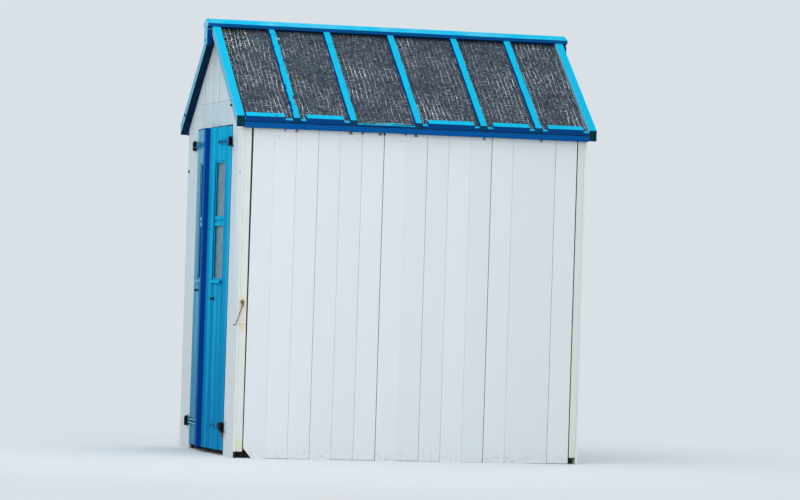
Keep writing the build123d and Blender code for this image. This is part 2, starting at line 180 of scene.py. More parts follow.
class Sheet:
    """Node sheet of one material or world: short methods add its nodes and hand back wires."""

    def __init__(self, block: Material | World) -> None:
        """Start an empty sheet.

        Args:
            block: Material or world that the sheet belongs to.
        """
        block.use_nodes = True
        self.tree = block.node_tree
        self.tree.nodes.clear()

    def node(self, kind: str, inputs: dict[str | int, object], **settings: object) -> Node:
        """Add a node.

        Args:
            kind: Blender's type name of the node.
            inputs: Value, colour code or wire for each input.
            **settings: Properties of the node itself.

        Returns:
            The new node.
        """
        node = self.tree.nodes.new(kind)
        for key, value in settings.items():
            setattr(node, key, value)
        for key, value in inputs.items():
            if isinstance(value, Wire):
                self.tree.links.new(value.socket, node.inputs[key])
            else:
                node.inputs[key].default_value = screen(value) if isinstance(value, str) else value
        return node

    def add(
        self, kind: str, inputs: dict[str | int, object], output: str | int = 0, **settings: object
    ) -> Wire:
        """Add a node and take one of its outputs."""
        return Wire(self, self.node(kind, inputs, **settings).outputs[output])

    @cached_property
    def place(self) -> Wire:
        """Place on the piece."""
        return self.add("ShaderNodeTexCoord", {}, "Object")

    @cached_property
    def facing(self) -> Wire:
        """Direction that the surface faces."""
        return self.add("ShaderNodeTexCoord", {}, "Normal")

    def axes(self, vector: Wire) -> list[Wire]:
        """Split a vector into its three parts."""
        node = self.node("ShaderNodeSeparateXYZ", {0: vector})
        return [Wire(self, part) for part in node.outputs]

    def attribute(self, name: str) -> Wire:
        """Read a number that a piece's faces carry."""
        return self.add("ShaderNodeAttribute", {}, "Fac", attribute_name=name)

    def mottle(
        self,
        scale: float,
        detail: float = 3.0,
        rough: float = 0.55,
        squeeze: Sequence[float] | None = None,
        move: Sequence[float] = (0.0, 0.0, 0.0),
    ) -> Wire:
        """Cloudy pattern between 0 and 1.

        Args:
            scale: Patches to the metre, before any squeeze.
            detail: Octaves of finer patches.
            rough: Strength of the finer patches.
            squeeze: Factor for each axis, or None for an even pattern.
            move: How far a squeezed pattern is moved.

        Returns:
            Wire of the pattern.
        """
        where = self.place
        if squeeze:
            inputs = {"Vector": where, "Scale": squeeze, "Location": move}
            where = self.add("ShaderNodeMapping", inputs)
        inputs = {"Vector": where, "Scale": scale, "Detail": detail, "Roughness": rough}
        return self.add("ShaderNodeTexNoise", inputs)

    def tint(self, share: Wire, under: Wire | str, over: Wire | str) -> Wire:
        """Mix two colours: share says how much of the second one shows."""
        return self.add("ShaderNodeMix", {0: share, 6: under, 7: over}, 2, data_type="RGBA")

    def surface(
        self,
        paint: Wire,
        roughness: Wire | float,
        height: Wire | None = None,
        depth: float = 0.001,
        **sockets: float,
    ) -> None:
        """Close a material's sheet with its shader.

        Args:
            paint: Base colour.
            roughness: Roughness.
            height: Relief, or None where the surface is smooth.
            depth: Height in metres of the full relief.
            **sockets: Other inputs of the shader, with underscores for blanks.
        """
        inputs = {"Base Color": paint, "Roughness": roughness}
        inputs.update({key.replace("_", " "): value for key, value in sockets.items()})
        if height:
            bump = {"Height": height, "Distance": depth, "Strength": 1.0}
            inputs["Normal"] = self.add("ShaderNodeBump", bump)
        shader = self.add("ShaderNodeBsdfPrincipled", inputs)
        self.node("ShaderNodeOutputMaterial", {"Surface": shader})


@dataclass(frozen=True)
class Finish:
    """Named finish that lays its nodes on a sheet."""

    name: str

    def make(self) -> Material:
        """Make the material.

        Returns:
            The finished material.
        """
        material = bpy.data.materials.new(self.name)
        self.lay(Sheet(material))
        return material

    def lay(self, sheet: Sheet) -> None:
        """Lay the finish's nodes on a sheet."""
        raise NotImplementedError


@dataclass(frozen=True)
class WhitePaint(Finish):
    """Weathered white paint on boards that stand upright."""

    name: str = "white_paint"
    paint: str = "E2E8EA"
    thin: str = "D1D8DB"
    grime: str = "8E958F"
    wood: str = "8B8577"
    # joint: colour of the painted shade inside the joints
    joint: str = "23292A"
    cracks: float = 0.0
    splash_height: float = 0.09
    brush_height: float = 0.0005
    gloss: float = 0.3
    faces: tuple[float, float, float] = (1.0, 0.0, 0.0)
    corner_reach: float = 0.0

    def lay(self, sheet: Sheet) -> None:
        """Lay the paint with brush lines, splashes near the ground, small chips, painted shade on
        the faces inside the joints and its stains.

        Args:
            sheet: Node sheet to work on.
        """
        grain = Grain.ALONG_Z.value
        brush = sheet.mottle(3.5, 5.0, 0.6, grain)
        thinned = brush.band(0.46, 0.82) * sheet.mottle(2.4, 4.0).spread(0.05, 0.55)
        thinned += sheet.attribute("tone") * 0.22
        colour = sheet.tint(thinned, self.paint, self.thin)
        splash = sheet.axes(sheet.place)[2].fall(0.0, self.splash_height)
        splash *= sheet.mottle(46.0, 5.0, 0.7).band(0.50, 0.70)
        colour = sheet.tint(splash * 0.45, colour, self.grime)
        chips = sheet.mottle(58.0, 2.0, squeeze=(1.0, 1.0, 0.35)).band(0.785, 0.80)
        colour = sheet.tint(chips * 0.75, colour, self.wood)
        if self.cracks:
            split = sheet.mottle(2.2, 3.0, 0.4, grain, (0.3, 0.1, 0.7))
            cracks = abs(split - 0.5).fall(0.002, 0.012) * self.cracks
            colour = sheet.tint(cracks, colour, self.grime)
        colour = self.stained(sheet, self.joint_faces(sheet, colour), brush)
        gloss = {"Specular_IOR_Level": self.gloss}
        sheet.surface(colour, brush.spread(0.5, 0.66), brush, self.brush_height, **gloss)

    def joint_faces(self, sheet: Sheet, colour: Wire) -> Wire:
        """Darken the faces that look along the wall, which lie inside its joints, as painted
        shade.

        Args:
            sheet: Node sheet to work on.
            colour: Colour so far.

        Returns:
            Wire of the colour.
        """
        # Faces turned away from the wall's face get painted shade
        inputs = {0: sheet.facing, 1: self.faces}
        square = abs(sheet.add("ShaderNodeVectorMath", inputs, "Value", operation="DOT_PRODUCT"))
        share = square.fall(0.25, 0.62)
        if self.corner_reach:
            share *= abs(sheet.axes(sheet.place)[0]) < self.corner_reach
        return sheet.tint(share, colour, self.joint)

    def stained(self, sheet: Sheet, colour: Wire, brush: Wire) -> Wire:
        """Leave the colour as it is: a plain wall has no stains of its own."""
        return colour


@dataclass(frozen=True)
class SidePaint(WhitePaint):
    """White paint of the side walls, streaked by what drips off the fascia at some joints."""

    name: str = "side_paint"
    gloss: float = 0.25
    stains: tuple[float, ...] = (
        -0.817, -0.744, -0.411, -0.338, -0.230, -0.201, -0.073, -0.006, 0.42, 0.78
    )
    stain_top: float = 1.958
    stain_reach: float = 0.014
    short_stain: float = 0.6
    stain: str = "20282C"

    def stained(self, sheet: Sheet, colour: Wire, brush: Wire) -> Wire:
        """Streak the heads of some joints.

        Args:
            sheet: Node sheet to work on.
            colour: Colour so far.
            brush: Brush lines of the paint; not used here.

        Returns:
            Wire of the colour.
        """
        _, y, z = sheet.axes(sheet.place)
        ragged = sheet.mottle(90.0, 3.0, squeeze=(1.0, 1.0, 0.3))
        drop = (self.stain_top - z - ragged * 0.012) * 1.2
        stray = (sheet.mottle(60.0, 2.0) - 0.5) * 0.03
        share = 0.0
        for number, place in enumerate(self.stains):
            reach = self.stain_reach * (1.0 if number % 3 else self.short_stain)
            away = abs(y - place + stray).larger(drop)
            share = away.fall(reach * 0.4, reach).larger(share)
        return sheet.tint(share * 0.85, colour, self.stain)


@dataclass(frozen=True)
class GablePaint(WhitePaint):
    """White paint of the front, with a paler blue patch where the gable meets the doorway."""

    name: str = "gable_paint"
    gloss: float = 0.25
    paint: str = "D0DEE4"
    thin: str = "BCCBD3"
    side: str = "DAE1DC"
    cracks: float = 0.6
    faces: tuple[float, float, float] = (0.0, 1.0, 0.0)
    corner_reach: float = 0.748
    patch: str = "C0D6DF"
    patch_low: float = 1.985
    patch_high: float = 2.135
    patch_half_width: float = 0.40
    patch_edge: float = 0.012
    plank_line: str = "93A9B3"
    plank_pitch: float = 0.058
    apex_dirt: float = 0.30
    apex_heights: Span = (2.15, 2.50)
    low_paint: str = "D5DADA"
    low_heights: Span = (0.45, 1.35)
    sunned_paint: str = "E2E9EA"
    sunned_places: Span = (0.60, 0.66)
    sunned_heights: Span = (0.80, 1.50)
    foot: float = 0.038

    def stained(self, sheet: Sheet, colour: Wire, brush: Wire) -> Wire:
        """Add the patch, darker boards towards the apex, paler boards low down, a patch of painted
        sunlight and the side's corner, dark at its foot.

        Args:
            sheet: Node sheet to work on.
            colour: Colour so far.
            brush: Brush lines of the paint.

        Returns:
            Wire of the colour.
        """
        x, _, z = sheet.axes(sheet.place)
        reach = abs(x)
        within = reach.fall(self.patch_half_width, self.patch_half_width + self.patch_edge)
        patch = z.fall(self.patch_high - self.patch_edge, self.patch_high)
        patch = patch * z.band(self.patch_low - self.patch_edge, self.patch_low) * within
        planks = (x * (1 / self.plank_pitch)).saw().fall(0.05, 0.10) * patch
        rim = abs(z - self.patch_high).fall(0.002, 0.006) * within
        # Painted sunlight: a paler patch on the right panel
        sunlight = x.band(*self.sunned_places) * z.band(*self.sunned_heights)
        for share, shade in (
            (patch * brush.spread(0.35, 0.95), self.patch),
            (planks.larger(rim) * brush.spread(0.2, 0.9), self.plank_line),
            # darker towards the apex, under the verges
            (z.band(*self.apex_heights) * self.apex_dirt, self.grime),
            (z.fall(*self.low_heights) * 0.75, self.low_paint),
            (sunlight * 0.7, self.sunned_paint),
        ):
            colour = sheet.tint(share, colour, shade)
        corner = (reach > self.corner_reach) * (abs(sheet.axes(sheet.facing)[0]) > 0.7)
        return sheet.tint(corner, colour, sheet.tint(z < self.foot, self.side, self.joint))


@dataclass(frozen=True)
class PostPaint(WhitePaint):
    """White paint of the corner posts: creamy beside the gap, with painted shade on the faces
    inside it, and rust-stained by the hook.
    """

    name: str = "post_paint"
    gloss: float = 0.25
    paint: str = "DBDFDD"
    cream: str = "E2E2D8"
    rust: str = "7C5428"
    dark_rust: str = "46301C"
    yellow: str = "CDB050"
    peach: str = "E2C8B0"
    moss: str = "D3D8B4"
    moss_heights: Span = (0.05, 0.17)
    glow: str = "DECB8C"
    gap_place: float = 1.0165
    cream_width: float = 0.036
    hook_place: float = -1.0435
    hook_height: float = 0.926
    rubbed_radius: float = 0.135
    ring_drops: Span = (0.11, 0.125)
    blot_drop: float = 0.020
    blot_reach: Span = (0.008, 0.026)
    glow_reach: Span = (0.012, 0.045)
    rust_reach: Span = (0.005, 0.019)
    core_reach: Span = (0.006, 0.013)
    run_reach: Span = (0.006, 0.030)
    run_start: Span = (0.0, 0.02)
    run_end: Span = (0.12, 0.22)

    def stained(self, sheet: Sheet, colour: Wire, brush: Wire) -> Wire:
        """Add cream and moss, painted shade on the faces inside the gap, and the rust that runs,
        rubs and glows around the hook.

        Args:
            sheet: Node sheet to work on.
            colour: Colour so far.
            brush: Brush lines of the paint; not used here.

        Returns:
            Wire of the colour.
        """
        _, y, z = sheet.axes(sheet.place)
        beside = abs(y).fall(self.gap_place, self.gap_place + self.cream_width)
        patches = sheet.mottle(14.0, 4.0, squeeze=(1.0, 1.0, 0.25)).band(0.38, 0.62)
        colour = sheet.tint(beside * patches, colour, self.cream)
        mossy = z.fall(*self.moss_heights) * patches.spread(0.3, 0.8)
        colour = sheet.tint(mossy, colour, self.moss)
        # Painted shade on the faces inside the gap
        colour = self.joint_faces(sheet, colour)

        across = y - self.hook_place
        rise = z - self.hook_height
        below = -rise
        away = across.diagonal(rise)
        ring = abs(away - self.rubbed_radius).fall(0.001, 0.006) * below.band(*self.ring_drops)
        blot = abs(across) + abs(rise + (self.rubbed_radius + self.blot_drop)) * 0.7
        run = abs(across).fall(*self.run_reach)
        run = run * below.band(*self.run_start) * below.fall(*self.run_end)
        patchy = (y < 0.0) * sheet.mottle(90.0, 3.0).spread(0.35, 1.0)
        for share, stain in (
            (run * 0.55, self.peach),
            (away.fall(*self.glow_reach) * 0.75, self.glow),
            (blot.fall(*self.blot_reach) * 0.75, self.glow),
            (ring, self.yellow),
            (away.fall(*self.rust_reach), self.rust),
            (away.fall(*self.core_reach), self.dark_rust),
        ):
            colour = sheet.tint(share * patchy, colour, stain)
        return colour


@dataclass(frozen=True)
class BluePaint(Finish):
    """Blue paint on timber: paler on the faces that look up, partly sun bleaching and partly
    painted top light, and deeper on the others as painted shade.
    """

    grain: Grain
    # Colours by facing: top is partly bleached and partly painted top light; side, end and a dark
    # front are painted shade; a pale front is fading and painted sky reflection; under is painted
    # shade.
    top: str = "00B9E2"
    side: str = "00468C"
    under: str = "04233C"
    front: str = "00468C"
    faded: str = "1BAFD2"
    end: str = "00468C"
    wood: str = "4B5358"
    chip_level: float = 0.74

    def lay(self, sheet: Sheet) -> None:
        """Lay the paint, a colour for each way that a face looks as painted light and shade, and
        its chips.

        Args:
            sheet: Node sheet to work on.
        """
        turned, outward, rise = sheet.axes(sheet.facing)
        fibres = sheet.mottle(2.6, 5.0, 0.6, self.grain.value)
        # Faces that look up: pale, partly bleaching and partly painted top light, patchily faded
        top = sheet.tint(sheet.mottle(9.0, 4.0).band(0.35, 0.75) * 0.5, self.top, self.faded)
        # Faces that look sideways: painted shade; a pale front colour is fading and painted sky
        # reflection
        sides = sheet.tint((-outward).band(0.6, 0.8), self.side, self.front)
        sides = sheet.tint(abs(turned).band(0.75, 0.9), sides, self.end)
        colour = sheet.tint(rise.band(0.35, 0.6), sides, top)
        # Faces that look down: painted shade
        colour = sheet.tint((-rise).band(0.25, 0.7), colour, self.under)
        colour = sheet.tint(fibres.band(0.52, 0.80) * 0.45, colour, self.side)
        chips = sheet.mottle(48.0, 4.0, 0.6, [0.3 + 0.017 * factor for factor in self.grain.value])
        chips = chips.band(self.chip_level, self.chip_level + 0.02)
        colour = sheet.tint(chips, colour, self.wood)
        relief = fibres - chips * 0.8
        sheet.surface(colour, fibres.spread(0.6, 0.8), relief, 0.0009, Specular_IOR_Level=0.06)


@dataclass(frozen=True)
class DoorPaint(Finish):
    """Blue paint of the leaves, worn thin along the boards and greyer near the foot, with painted
    shade on the side faces.
    """

    paint: str = "009FCE"
    light: str = "06BAE2"
    deep: str = "006FAA"
    # edge: dark blue of the painted shade on the side faces, also the colour of the specks
    edge: str = "002F62"
    chalk: str = "6E9DB6"
    chip: str = "2D4350"
    rot: str = "5E4238"
    chalk_share: float = 0.25
    foot_share: float = 0.50
    foot_heights: Span = (0.15, 1.25)
    head_share: float = 0.30
    head_heights: Span = (1.35, 1.85)
    speckles: float = 0.0
    speckle_heights: Span = (1.2, 1.7)
    rot_place: Span | None = None
    rot_reach: Span = (0.022, 0.036)

    def lay(self, sheet: Sheet) -> None:
        """Lay the paint, its chalky wear, specks, chips, a rotten place and painted shade on the
        side faces.

        Args:
            sheet: Node sheet to work on.
        """
        x, _, z = sheet.axes(sheet.place)
        _, outward, rise = sheet.axes(sheet.facing)
        fibres = sheet.mottle(3.0, 5.0, 0.6, Grain.ALONG_Z.value)
        broad = sheet.mottle(1.7, 3.0, squeeze=(26.0, 26.0, 1.0))
        low = z.fall(*self.foot_heights)
        worn = low.spread(self.chalk_share * 1.1, self.chalk_share * 0.6) * fibres.band(0.30, 0.62)
        colour = sheet.tint(broad.band(0.40, 0.62), self.paint, self.light)
        for share, shade in (
            (sheet.attribute("tone") * 0.85, self.deep),
            (fibres.band(0.55, 0.78) * 0.5, self.deep),
            (worn, self.chalk),
            (low * self.foot_share, self.deep),
            (z.band(*self.head_heights) * self.head_share, self.light),
        ):
            colour = sheet.tint(share, colour, shade)
        if self.speckles:
            specks = sheet.mottle(95.0, 3.0, 0.6, (1.0, 1.0, 0.5)).band(0.60, 0.64)
            specks *= z.band(*self.speckle_heights).spread(0.25, 1.0)
            colour = sheet.tint(specks * self.speckles, colour, self.edge)
        chips = sheet.mottle(70.0, 3.0, squeeze=(1.0, 1.0, 0.3)).band(0.735, 0.755)
        colour = sheet.tint(chips * 0.8, colour, self.chip)
        if self.rot_place:
            rot_x, rot_z = self.rot_place
            away = (x - rot_x).diagonal((z - rot_z) * 0.9)
            away += (sheet.mottle(60.0, 4.0) - 0.5) * 0.05
            colour = sheet.tint(away.fall(*self.rot_reach), colour, self.rot)
        # Painted shade on the faces that look sideways: board edges, reveals and the astragal's
        # side
        side = abs(outward).fall(0.45, 0.85) * (rise < 0.5)
        colour = sheet.tint(side * 0.9, colour, self.edge)
        sheet.surface(colour, fibres.spread(0.6, 0.8), fibres, 0.0009, Specular_IOR_Level=0.03)


@dataclass(frozen=True)
class Felt(Finish):
    """Mineral roofing felt, worn pale along its weave lines."""

    name: str = "roof_felt"
    mineral: str = "303A45"
    dust: str = "485460"
    grit: str = "6E747C"
    bare: str = "ECF3F7"
    edge: str = "071A2C"
    pit: str = "080C12"
    line_spacing: float = 0.027
    cross_spacing: float = 0.019
    near_heights: Span = (2.30, 2.52)
    near_places: Span = (-1.02, -0.86)
    spots: tuple[tuple[float, float, float, str], ...] = (
        (-0.918, 2.564, 0.008, "E0B48C"),
        (-0.716, 2.537, 0.009, "C9B98A"),
    )

    @staticmethod
    def lines(along: Wire, spacing: float, width: float, bend: Wire) -> Wire:
        """Thin parallel lines.

        Args:
            along: Distance in metres across the lines.
            spacing: Distance in metres from line to line.
            width: Share of the spacing that a line covers.
            bend: Share of the spacing by which a line strays.

        Returns:
            Wire that is 1 on the lines.
        """
        return (along * (1 / spacing) + bend).saw().fall(width * 0.4, width)

    def lay(self, sheet: Sheet) -> None:
        """Lay the mineral, its pits and bits, and the lines of the weave.

        Args:
            sheet: Node sheet to work on.
        """
        x, y, z = sheet.axes(sheet.place)
        bend = sheet.mottle(3.0, 4.0, 0.6, (1.0, 3.0, 1.0)) * 2.4
        dashes = sheet.mottle(17.0, 4.0, 0.75, (1.0, 40.0, 1.0))
        ticks = sheet.mottle(34.0, 3.0, 0.7, (1.0, 1.0, 3.2))
        speck = sheet.mottle(95.0, 2.0, 0.6)
        grit = sheet.mottle(420.0, 2.0)
        near = z.band(*self.near_heights) * y.fall(*self.near_places)
        dense = sheet.mottle(4.2, 3.0).spread(0.14, -0.16) - near * 0.04
        down = self.lines(y, self.line_spacing, 0.13, bend) * (dashes - dense).band(0.55, 0.61)
        cross = self.lines(z * (1 / sin(PITCH)), self.cross_spacing, 0.11, bend)
        cross *= (ticks - dense).band(0.56, 0.64)
        clouds = sheet.mottle(26.0, 5.0, 0.65).band(0.38, 0.66)
        colour = sheet.tint(clouds, self.mineral, self.dust)
        for share, shade in (
            (grit.band(0.55, 0.75) * 0.35, self.grit),
            (near * 0.7, self.pit),
            (speck.fall(0.36, 0.45) * near.spread(0.6, 0.95), self.pit),
            (speck.band(0.61, 0.67) * near.spread(0.18, 1.0), self.bare),
            (cross * 0.55, self.bare),
            (down * speck.band(0.34, 0.48).spread(0.45, 1.0), self.bare),
        ):
            colour = sheet.tint(share, colour, shade)
        for spot_y, spot_z, radius, shade in self.spots:
            spot = (y - spot_y).diagonal(z - spot_z).fall(radius * 0.6, radius)
            colour = sheet.tint(spot * (x > 0.0), colour, shade)
        turned = abs(sheet.axes(sheet.facing)[0])
        colour = sheet.tint(turned.band(0.8, 0.95), colour, self.edge)
        relief = grit * 0.4 + dashes * 0.6
        sheet.surface(colour, 0.86, relief, 0.0015, Specular_IOR_Level=0.12)


@dataclass(frozen=True)
class BareTimber(Finish):
    """Unpainted softwood, greyed and dusty."""

    grain: Grain
    early: str = "A08C6C"
    late: str = "6D5B45"
    dust: str = "8E8676"
    shade: str = "57493A"
    # Near-black painted shadow along the timber's front
    dirt: str = "14181A"
    dirty_front: float = 0.0
    painted_reach: float = 0.0
    paint: str = "08263F"

    def lay(self, sheet: Sheet) -> None:
        """Lay the grain, and where set, painted shadow along its front and paint where the timber
        meets the open air.

        Args:
            sheet: Node sheet to work on.
        """
        x, y, _ = sheet.axes(sheet.place)
        fibres = sheet.mottle(2.0, 6.0, 0.62, self.grain.value)
        broad = sheet.mottle(1.3, squeeze=[0.2 + factor * 0.2 for factor in self.grain.value])
        colour = sheet.tint(fibres.band(0.38, 0.66), self.early, self.late)
        colour = sheet.tint(broad * 0.5, colour, self.dust)
        colour = sheet.tint(sheet.attribute("tone") * 0.35, colour, self.shade)
        # Painted shadow along the front
        if self.dirty_front:
            shadowed = y.fall(self.dirty_front, self.dirty_front + 0.02)
            colour = sheet.tint(shadowed, colour, self.dirt)
        if self.painted_reach:
            painted = abs(x).band(self.painted_reach, self.painted_reach + 0.003)
            colour = sheet.tint(painted, colour, self.paint)
        sheet.surface(colour, fibres.spread(0.6, 0.8), fibres, 0.0008)


@dataclass(frozen=True)
class Iron(Finish):
    """Wrought iron, black where its coat holds and brown where it has rusted."""

    coat: str = "131517"
    rust: str = "4C2B1B"
    bright_rust: str = "8A4C26"
    rust_level: float = 0.76
    rust_edge: float = 0.06

    def metal(self, sheet: Sheet) -> tuple[Wire, Wire]:
        """Lay the coat and the rust that breaks through it.

        Args:
            sheet: Node sheet to work on.

        Returns:
            Wires of the colour and of the relief.
        """
        blooms = sheet.mottle(55.0, 5.0, 0.65)
        fine = sheet.mottle(300.0, 3.0, 0.7)
        rust = sheet.tint(fine.band(0.40, 0.65), self.rust, self.bright_rust)
        rusted = blooms.band(self.rust_level - self.rust_edge, self.rust_level + self.rust_edge)
        return sheet.tint(rusted, self.coat, rust), blooms * 0.6 + fine * 0.4

    def lay(self, sheet: Sheet) -> None:
        """Lay the bare metal."""
        colour, relief = self.metal(sheet)
        sheet.surface(colour, 0.7, relief, 0.0008, Specular_IOR_Level=0.25)


@dataclass(frozen=True)
class PlatePaint(Iron):
    """Iron of the jamb plates: painted over with the wall, black and rusty about the pin."""

    name: str = "plate_paint"
    pin_reach: float = 0.5
    bare_reach: float = 0.014
    bare_edge: float = 0.004
    halo_width: float = 0.022
    plate_face: float = -1.0785
    paint: str = "BCD0DC"

    def lay(self, sheet: Sheet) -> None:
        """Lay the paint over the metal, with a rusty halo round the bare place.

        Args:
            sheet: Node sheet to work on.
        """
        metal, relief = self.metal(sheet)
        x, y, _ = sheet.axes(sheet.place)
        away = abs(x) - self.pin_reach + (relief - 0.5) * 0.03
        bare_end = self.bare_reach + self.bare_edge
        halo = away.fall(bare_end, self.bare_reach + self.halo_width)
        paint = sheet.tint(halo * 0.6, self.paint, self.bright_rust)
        painted = away.band(self.bare_reach, bare_end) * (y > self.plate_face)
        colour = sheet.tint(painted, metal, paint)
        sheet.surface(colour, 0.72, relief, 0.0006, Specular_IOR_Level=0.2)


@dataclass(frozen=True)
class StrapPaint(Finish):
    """Door paint carried over an iron strap, gone to rust and black iron around the pin."""

    pin_x: float
    bare_reach: float = 0.030
    low_reach: float = 0.0
    low_heights: Span = (0.3, 0.8)
    paint: str = "0B86BC"
    shade: str = "00629A"
    coat: str = "121417"
    rust: str = "63381F"
    light: str = "6FB4C4"
    low_height: float = 0.172
    stripe_share: float = 0.0

    def lay(self, sheet: Sheet) -> None:
        """Lay the paint, and on the low strap the pale and dark stripes that run along it, the
        dark ones partly painted shade.

        Args:
            sheet: Node sheet to work on.
        """
        x, _, z = sheet.axes(sheet.place)
        blooms = sheet.mottle(60.0, 5.0, 0.65)
        low = z.fall(*self.low_heights)
        away = abs(x - self.pin_x) + (blooms - 0.5) * 0.16 - low * self.low_reach
        painted = away.band(self.bare_reach - 0.006, self.bare_reach + 0.010)
        metal = sheet.tint(blooms.band(0.58, 0.68), self.coat, self.rust)
        paint = sheet.tint(sheet.mottle(24.0).band(0.4, 0.7), self.paint, self.shade)
        # Stripes on the low strap: dark lines at its edges and middle, partly bare iron and partly
        # painted shade of its relief, and pale lines between
        middle = abs(z - self.low_height)
        pale_lines = abs(middle - 0.010).fall(0.003, 0.007) * low
        dark = (middle.band(0.016, 0.020) * low).larger(middle.fall(0.002, 0.006) * low)
        paint = sheet.tint(pale_lines * self.stripe_share, paint, self.light)
        paint = sheet.tint(dark * self.stripe_share, paint, self.coat)
        paint = sheet.tint(sheet.mottle(130.0).band(0.66, 0.69), paint, self.coat)
        colour = sheet.tint(painted, metal, paint)
        sheet.surface(colour, 0.75, blooms, 0.0008, Specular_IOR_Level=0.06)


@dataclass(frozen=True)
class PatternedGlass(Finish):
    """Dusty patterned glass that lets light through but no clear view."""

    name: str = "patterned_glass"
    pane_tops: Span = (1.379, 1.761)
    tinge: str = "6CA2B6"
    dust: str = "4C8499"
    streak: str = "9DBDC6"
    # Dark teal of the painted shadow under each pane's head
    dirt: str = "2C4A5A"

    def lay(self, sheet: Sheet) -> None:
        """Lay the glass, its dust, its streaks and the painted shadow at the head of each pane.

        Args:
            sheet: Node sheet to work on.
        """
        height = sheet.axes(sheet.place)[2]
        pebbles = sheet.mottle(85.0, 2.0, 0.4, (1.0, 1.0, 0.8))
        dust = sheet.mottle(12.0, 4.0)
        streaks = sheet.mottle(70.0, 3.0, 0.6, (1.0, 1.0, 0.12))
        colour = sheet.tint(dust.band(0.35, 0.7), self.tinge, self.dust)
        colour = sheet.tint(streaks.band(0.5, 0.7) * 0.35, colour, self.streak)
        # Painted shadow of the recess along the head of each pane
        for top in self.pane_tops:
            shadowed = abs(height - top).fall(0.006, 0.016)
            colour = sheet.tint(shadowed * 0.8, colour, self.dirt)
        glass = {"Transmission_Weight": 0.45, "IOR": 1.5}
        sheet.surface(colour, dust.spread(0.16, 0.34), pebbles, 0.0025, **glass)


@dataclass(frozen=True)
class Grime(Finish):
    """Dark colour of the tongues deep in the joints: painted shade, patchy."""

    name: str = "joint_grime"
    wet: str = "2A2F30"
    dry: str = "4A504D"

    def lay(self, sheet: Sheet) -> None:
        """Lay the patchy painted shade."""
        sheet.surface(sheet.tint(sheet.mottle(40.0), self.wet, self.dry), 0.9)


def round_off(shape: BMesh, edges: Sequence[BMEdge], width: float) -> None:
    """Round some edges of a shape in two steps.

    Args:
        shape: Shape to work on.
        edges: Edges that are rounded.
        width: Width of the rounding.
    """
    bmesh.ops.bevel(
        shape, geom=edges, offset=width, offset_type="OFFSET", segments=2, profile=0.5,
        affect="EDGES", material=-1, clamp_overlap=True,
    )


def bar(
    length: float, width: float, depth: float, softness: float, cuts: int, face_only: bool = False
) -> BMesh:
    """Plane a length of timber with softened edges.

    Args:
        length: Size along X, from 0.
        width: Size along Y, centred.
        depth: Size along Z, from 0.
        softness: Width of the softened edges.
        cuts: Cross cuts that let wear bend the bar.
        face_only: Whether only the two long edges of the upper face are softened.

    Returns:
        The bar's shape.
    """
    shape = bmesh.new()
    size = Matrix.Diagonal((length, width, depth, 1))
    middle = Matrix.Translation((length / 2, 0, depth / 2))
    bmesh.ops.create_cube(shape, size=1.0, matrix=middle @ size)
    if cuts:
        long_edges = [
            edge for edge in shape.edges
            if abs(edge.verts[0].co.x - edge.verts[1].co.x) > length / 2
        ]
        bmesh.ops.subdivide_edges(shape, edges=long_edges, cuts=cuts, use_grid_fill=True)
    if softness:
        edges = [
            edge for edge in shape.edges
            if len(edge.link_faces) == 2 and edge.calc_face_angle() > radians(30)
        ]
        if face_only:
            edges = [
                edge for edge in edges
                if all(vert.co.z > depth - TINY for vert in edge.verts)
                and abs(edge.verts[0].co.y - edge.verts[1].co.y) < TINY
            ]
        round_off(shape, edges, softness)
    return shape


def made(finish: Finish) -> Material:
    """Field that holds a finish's material."""
    return field(default_factory=finish.make)


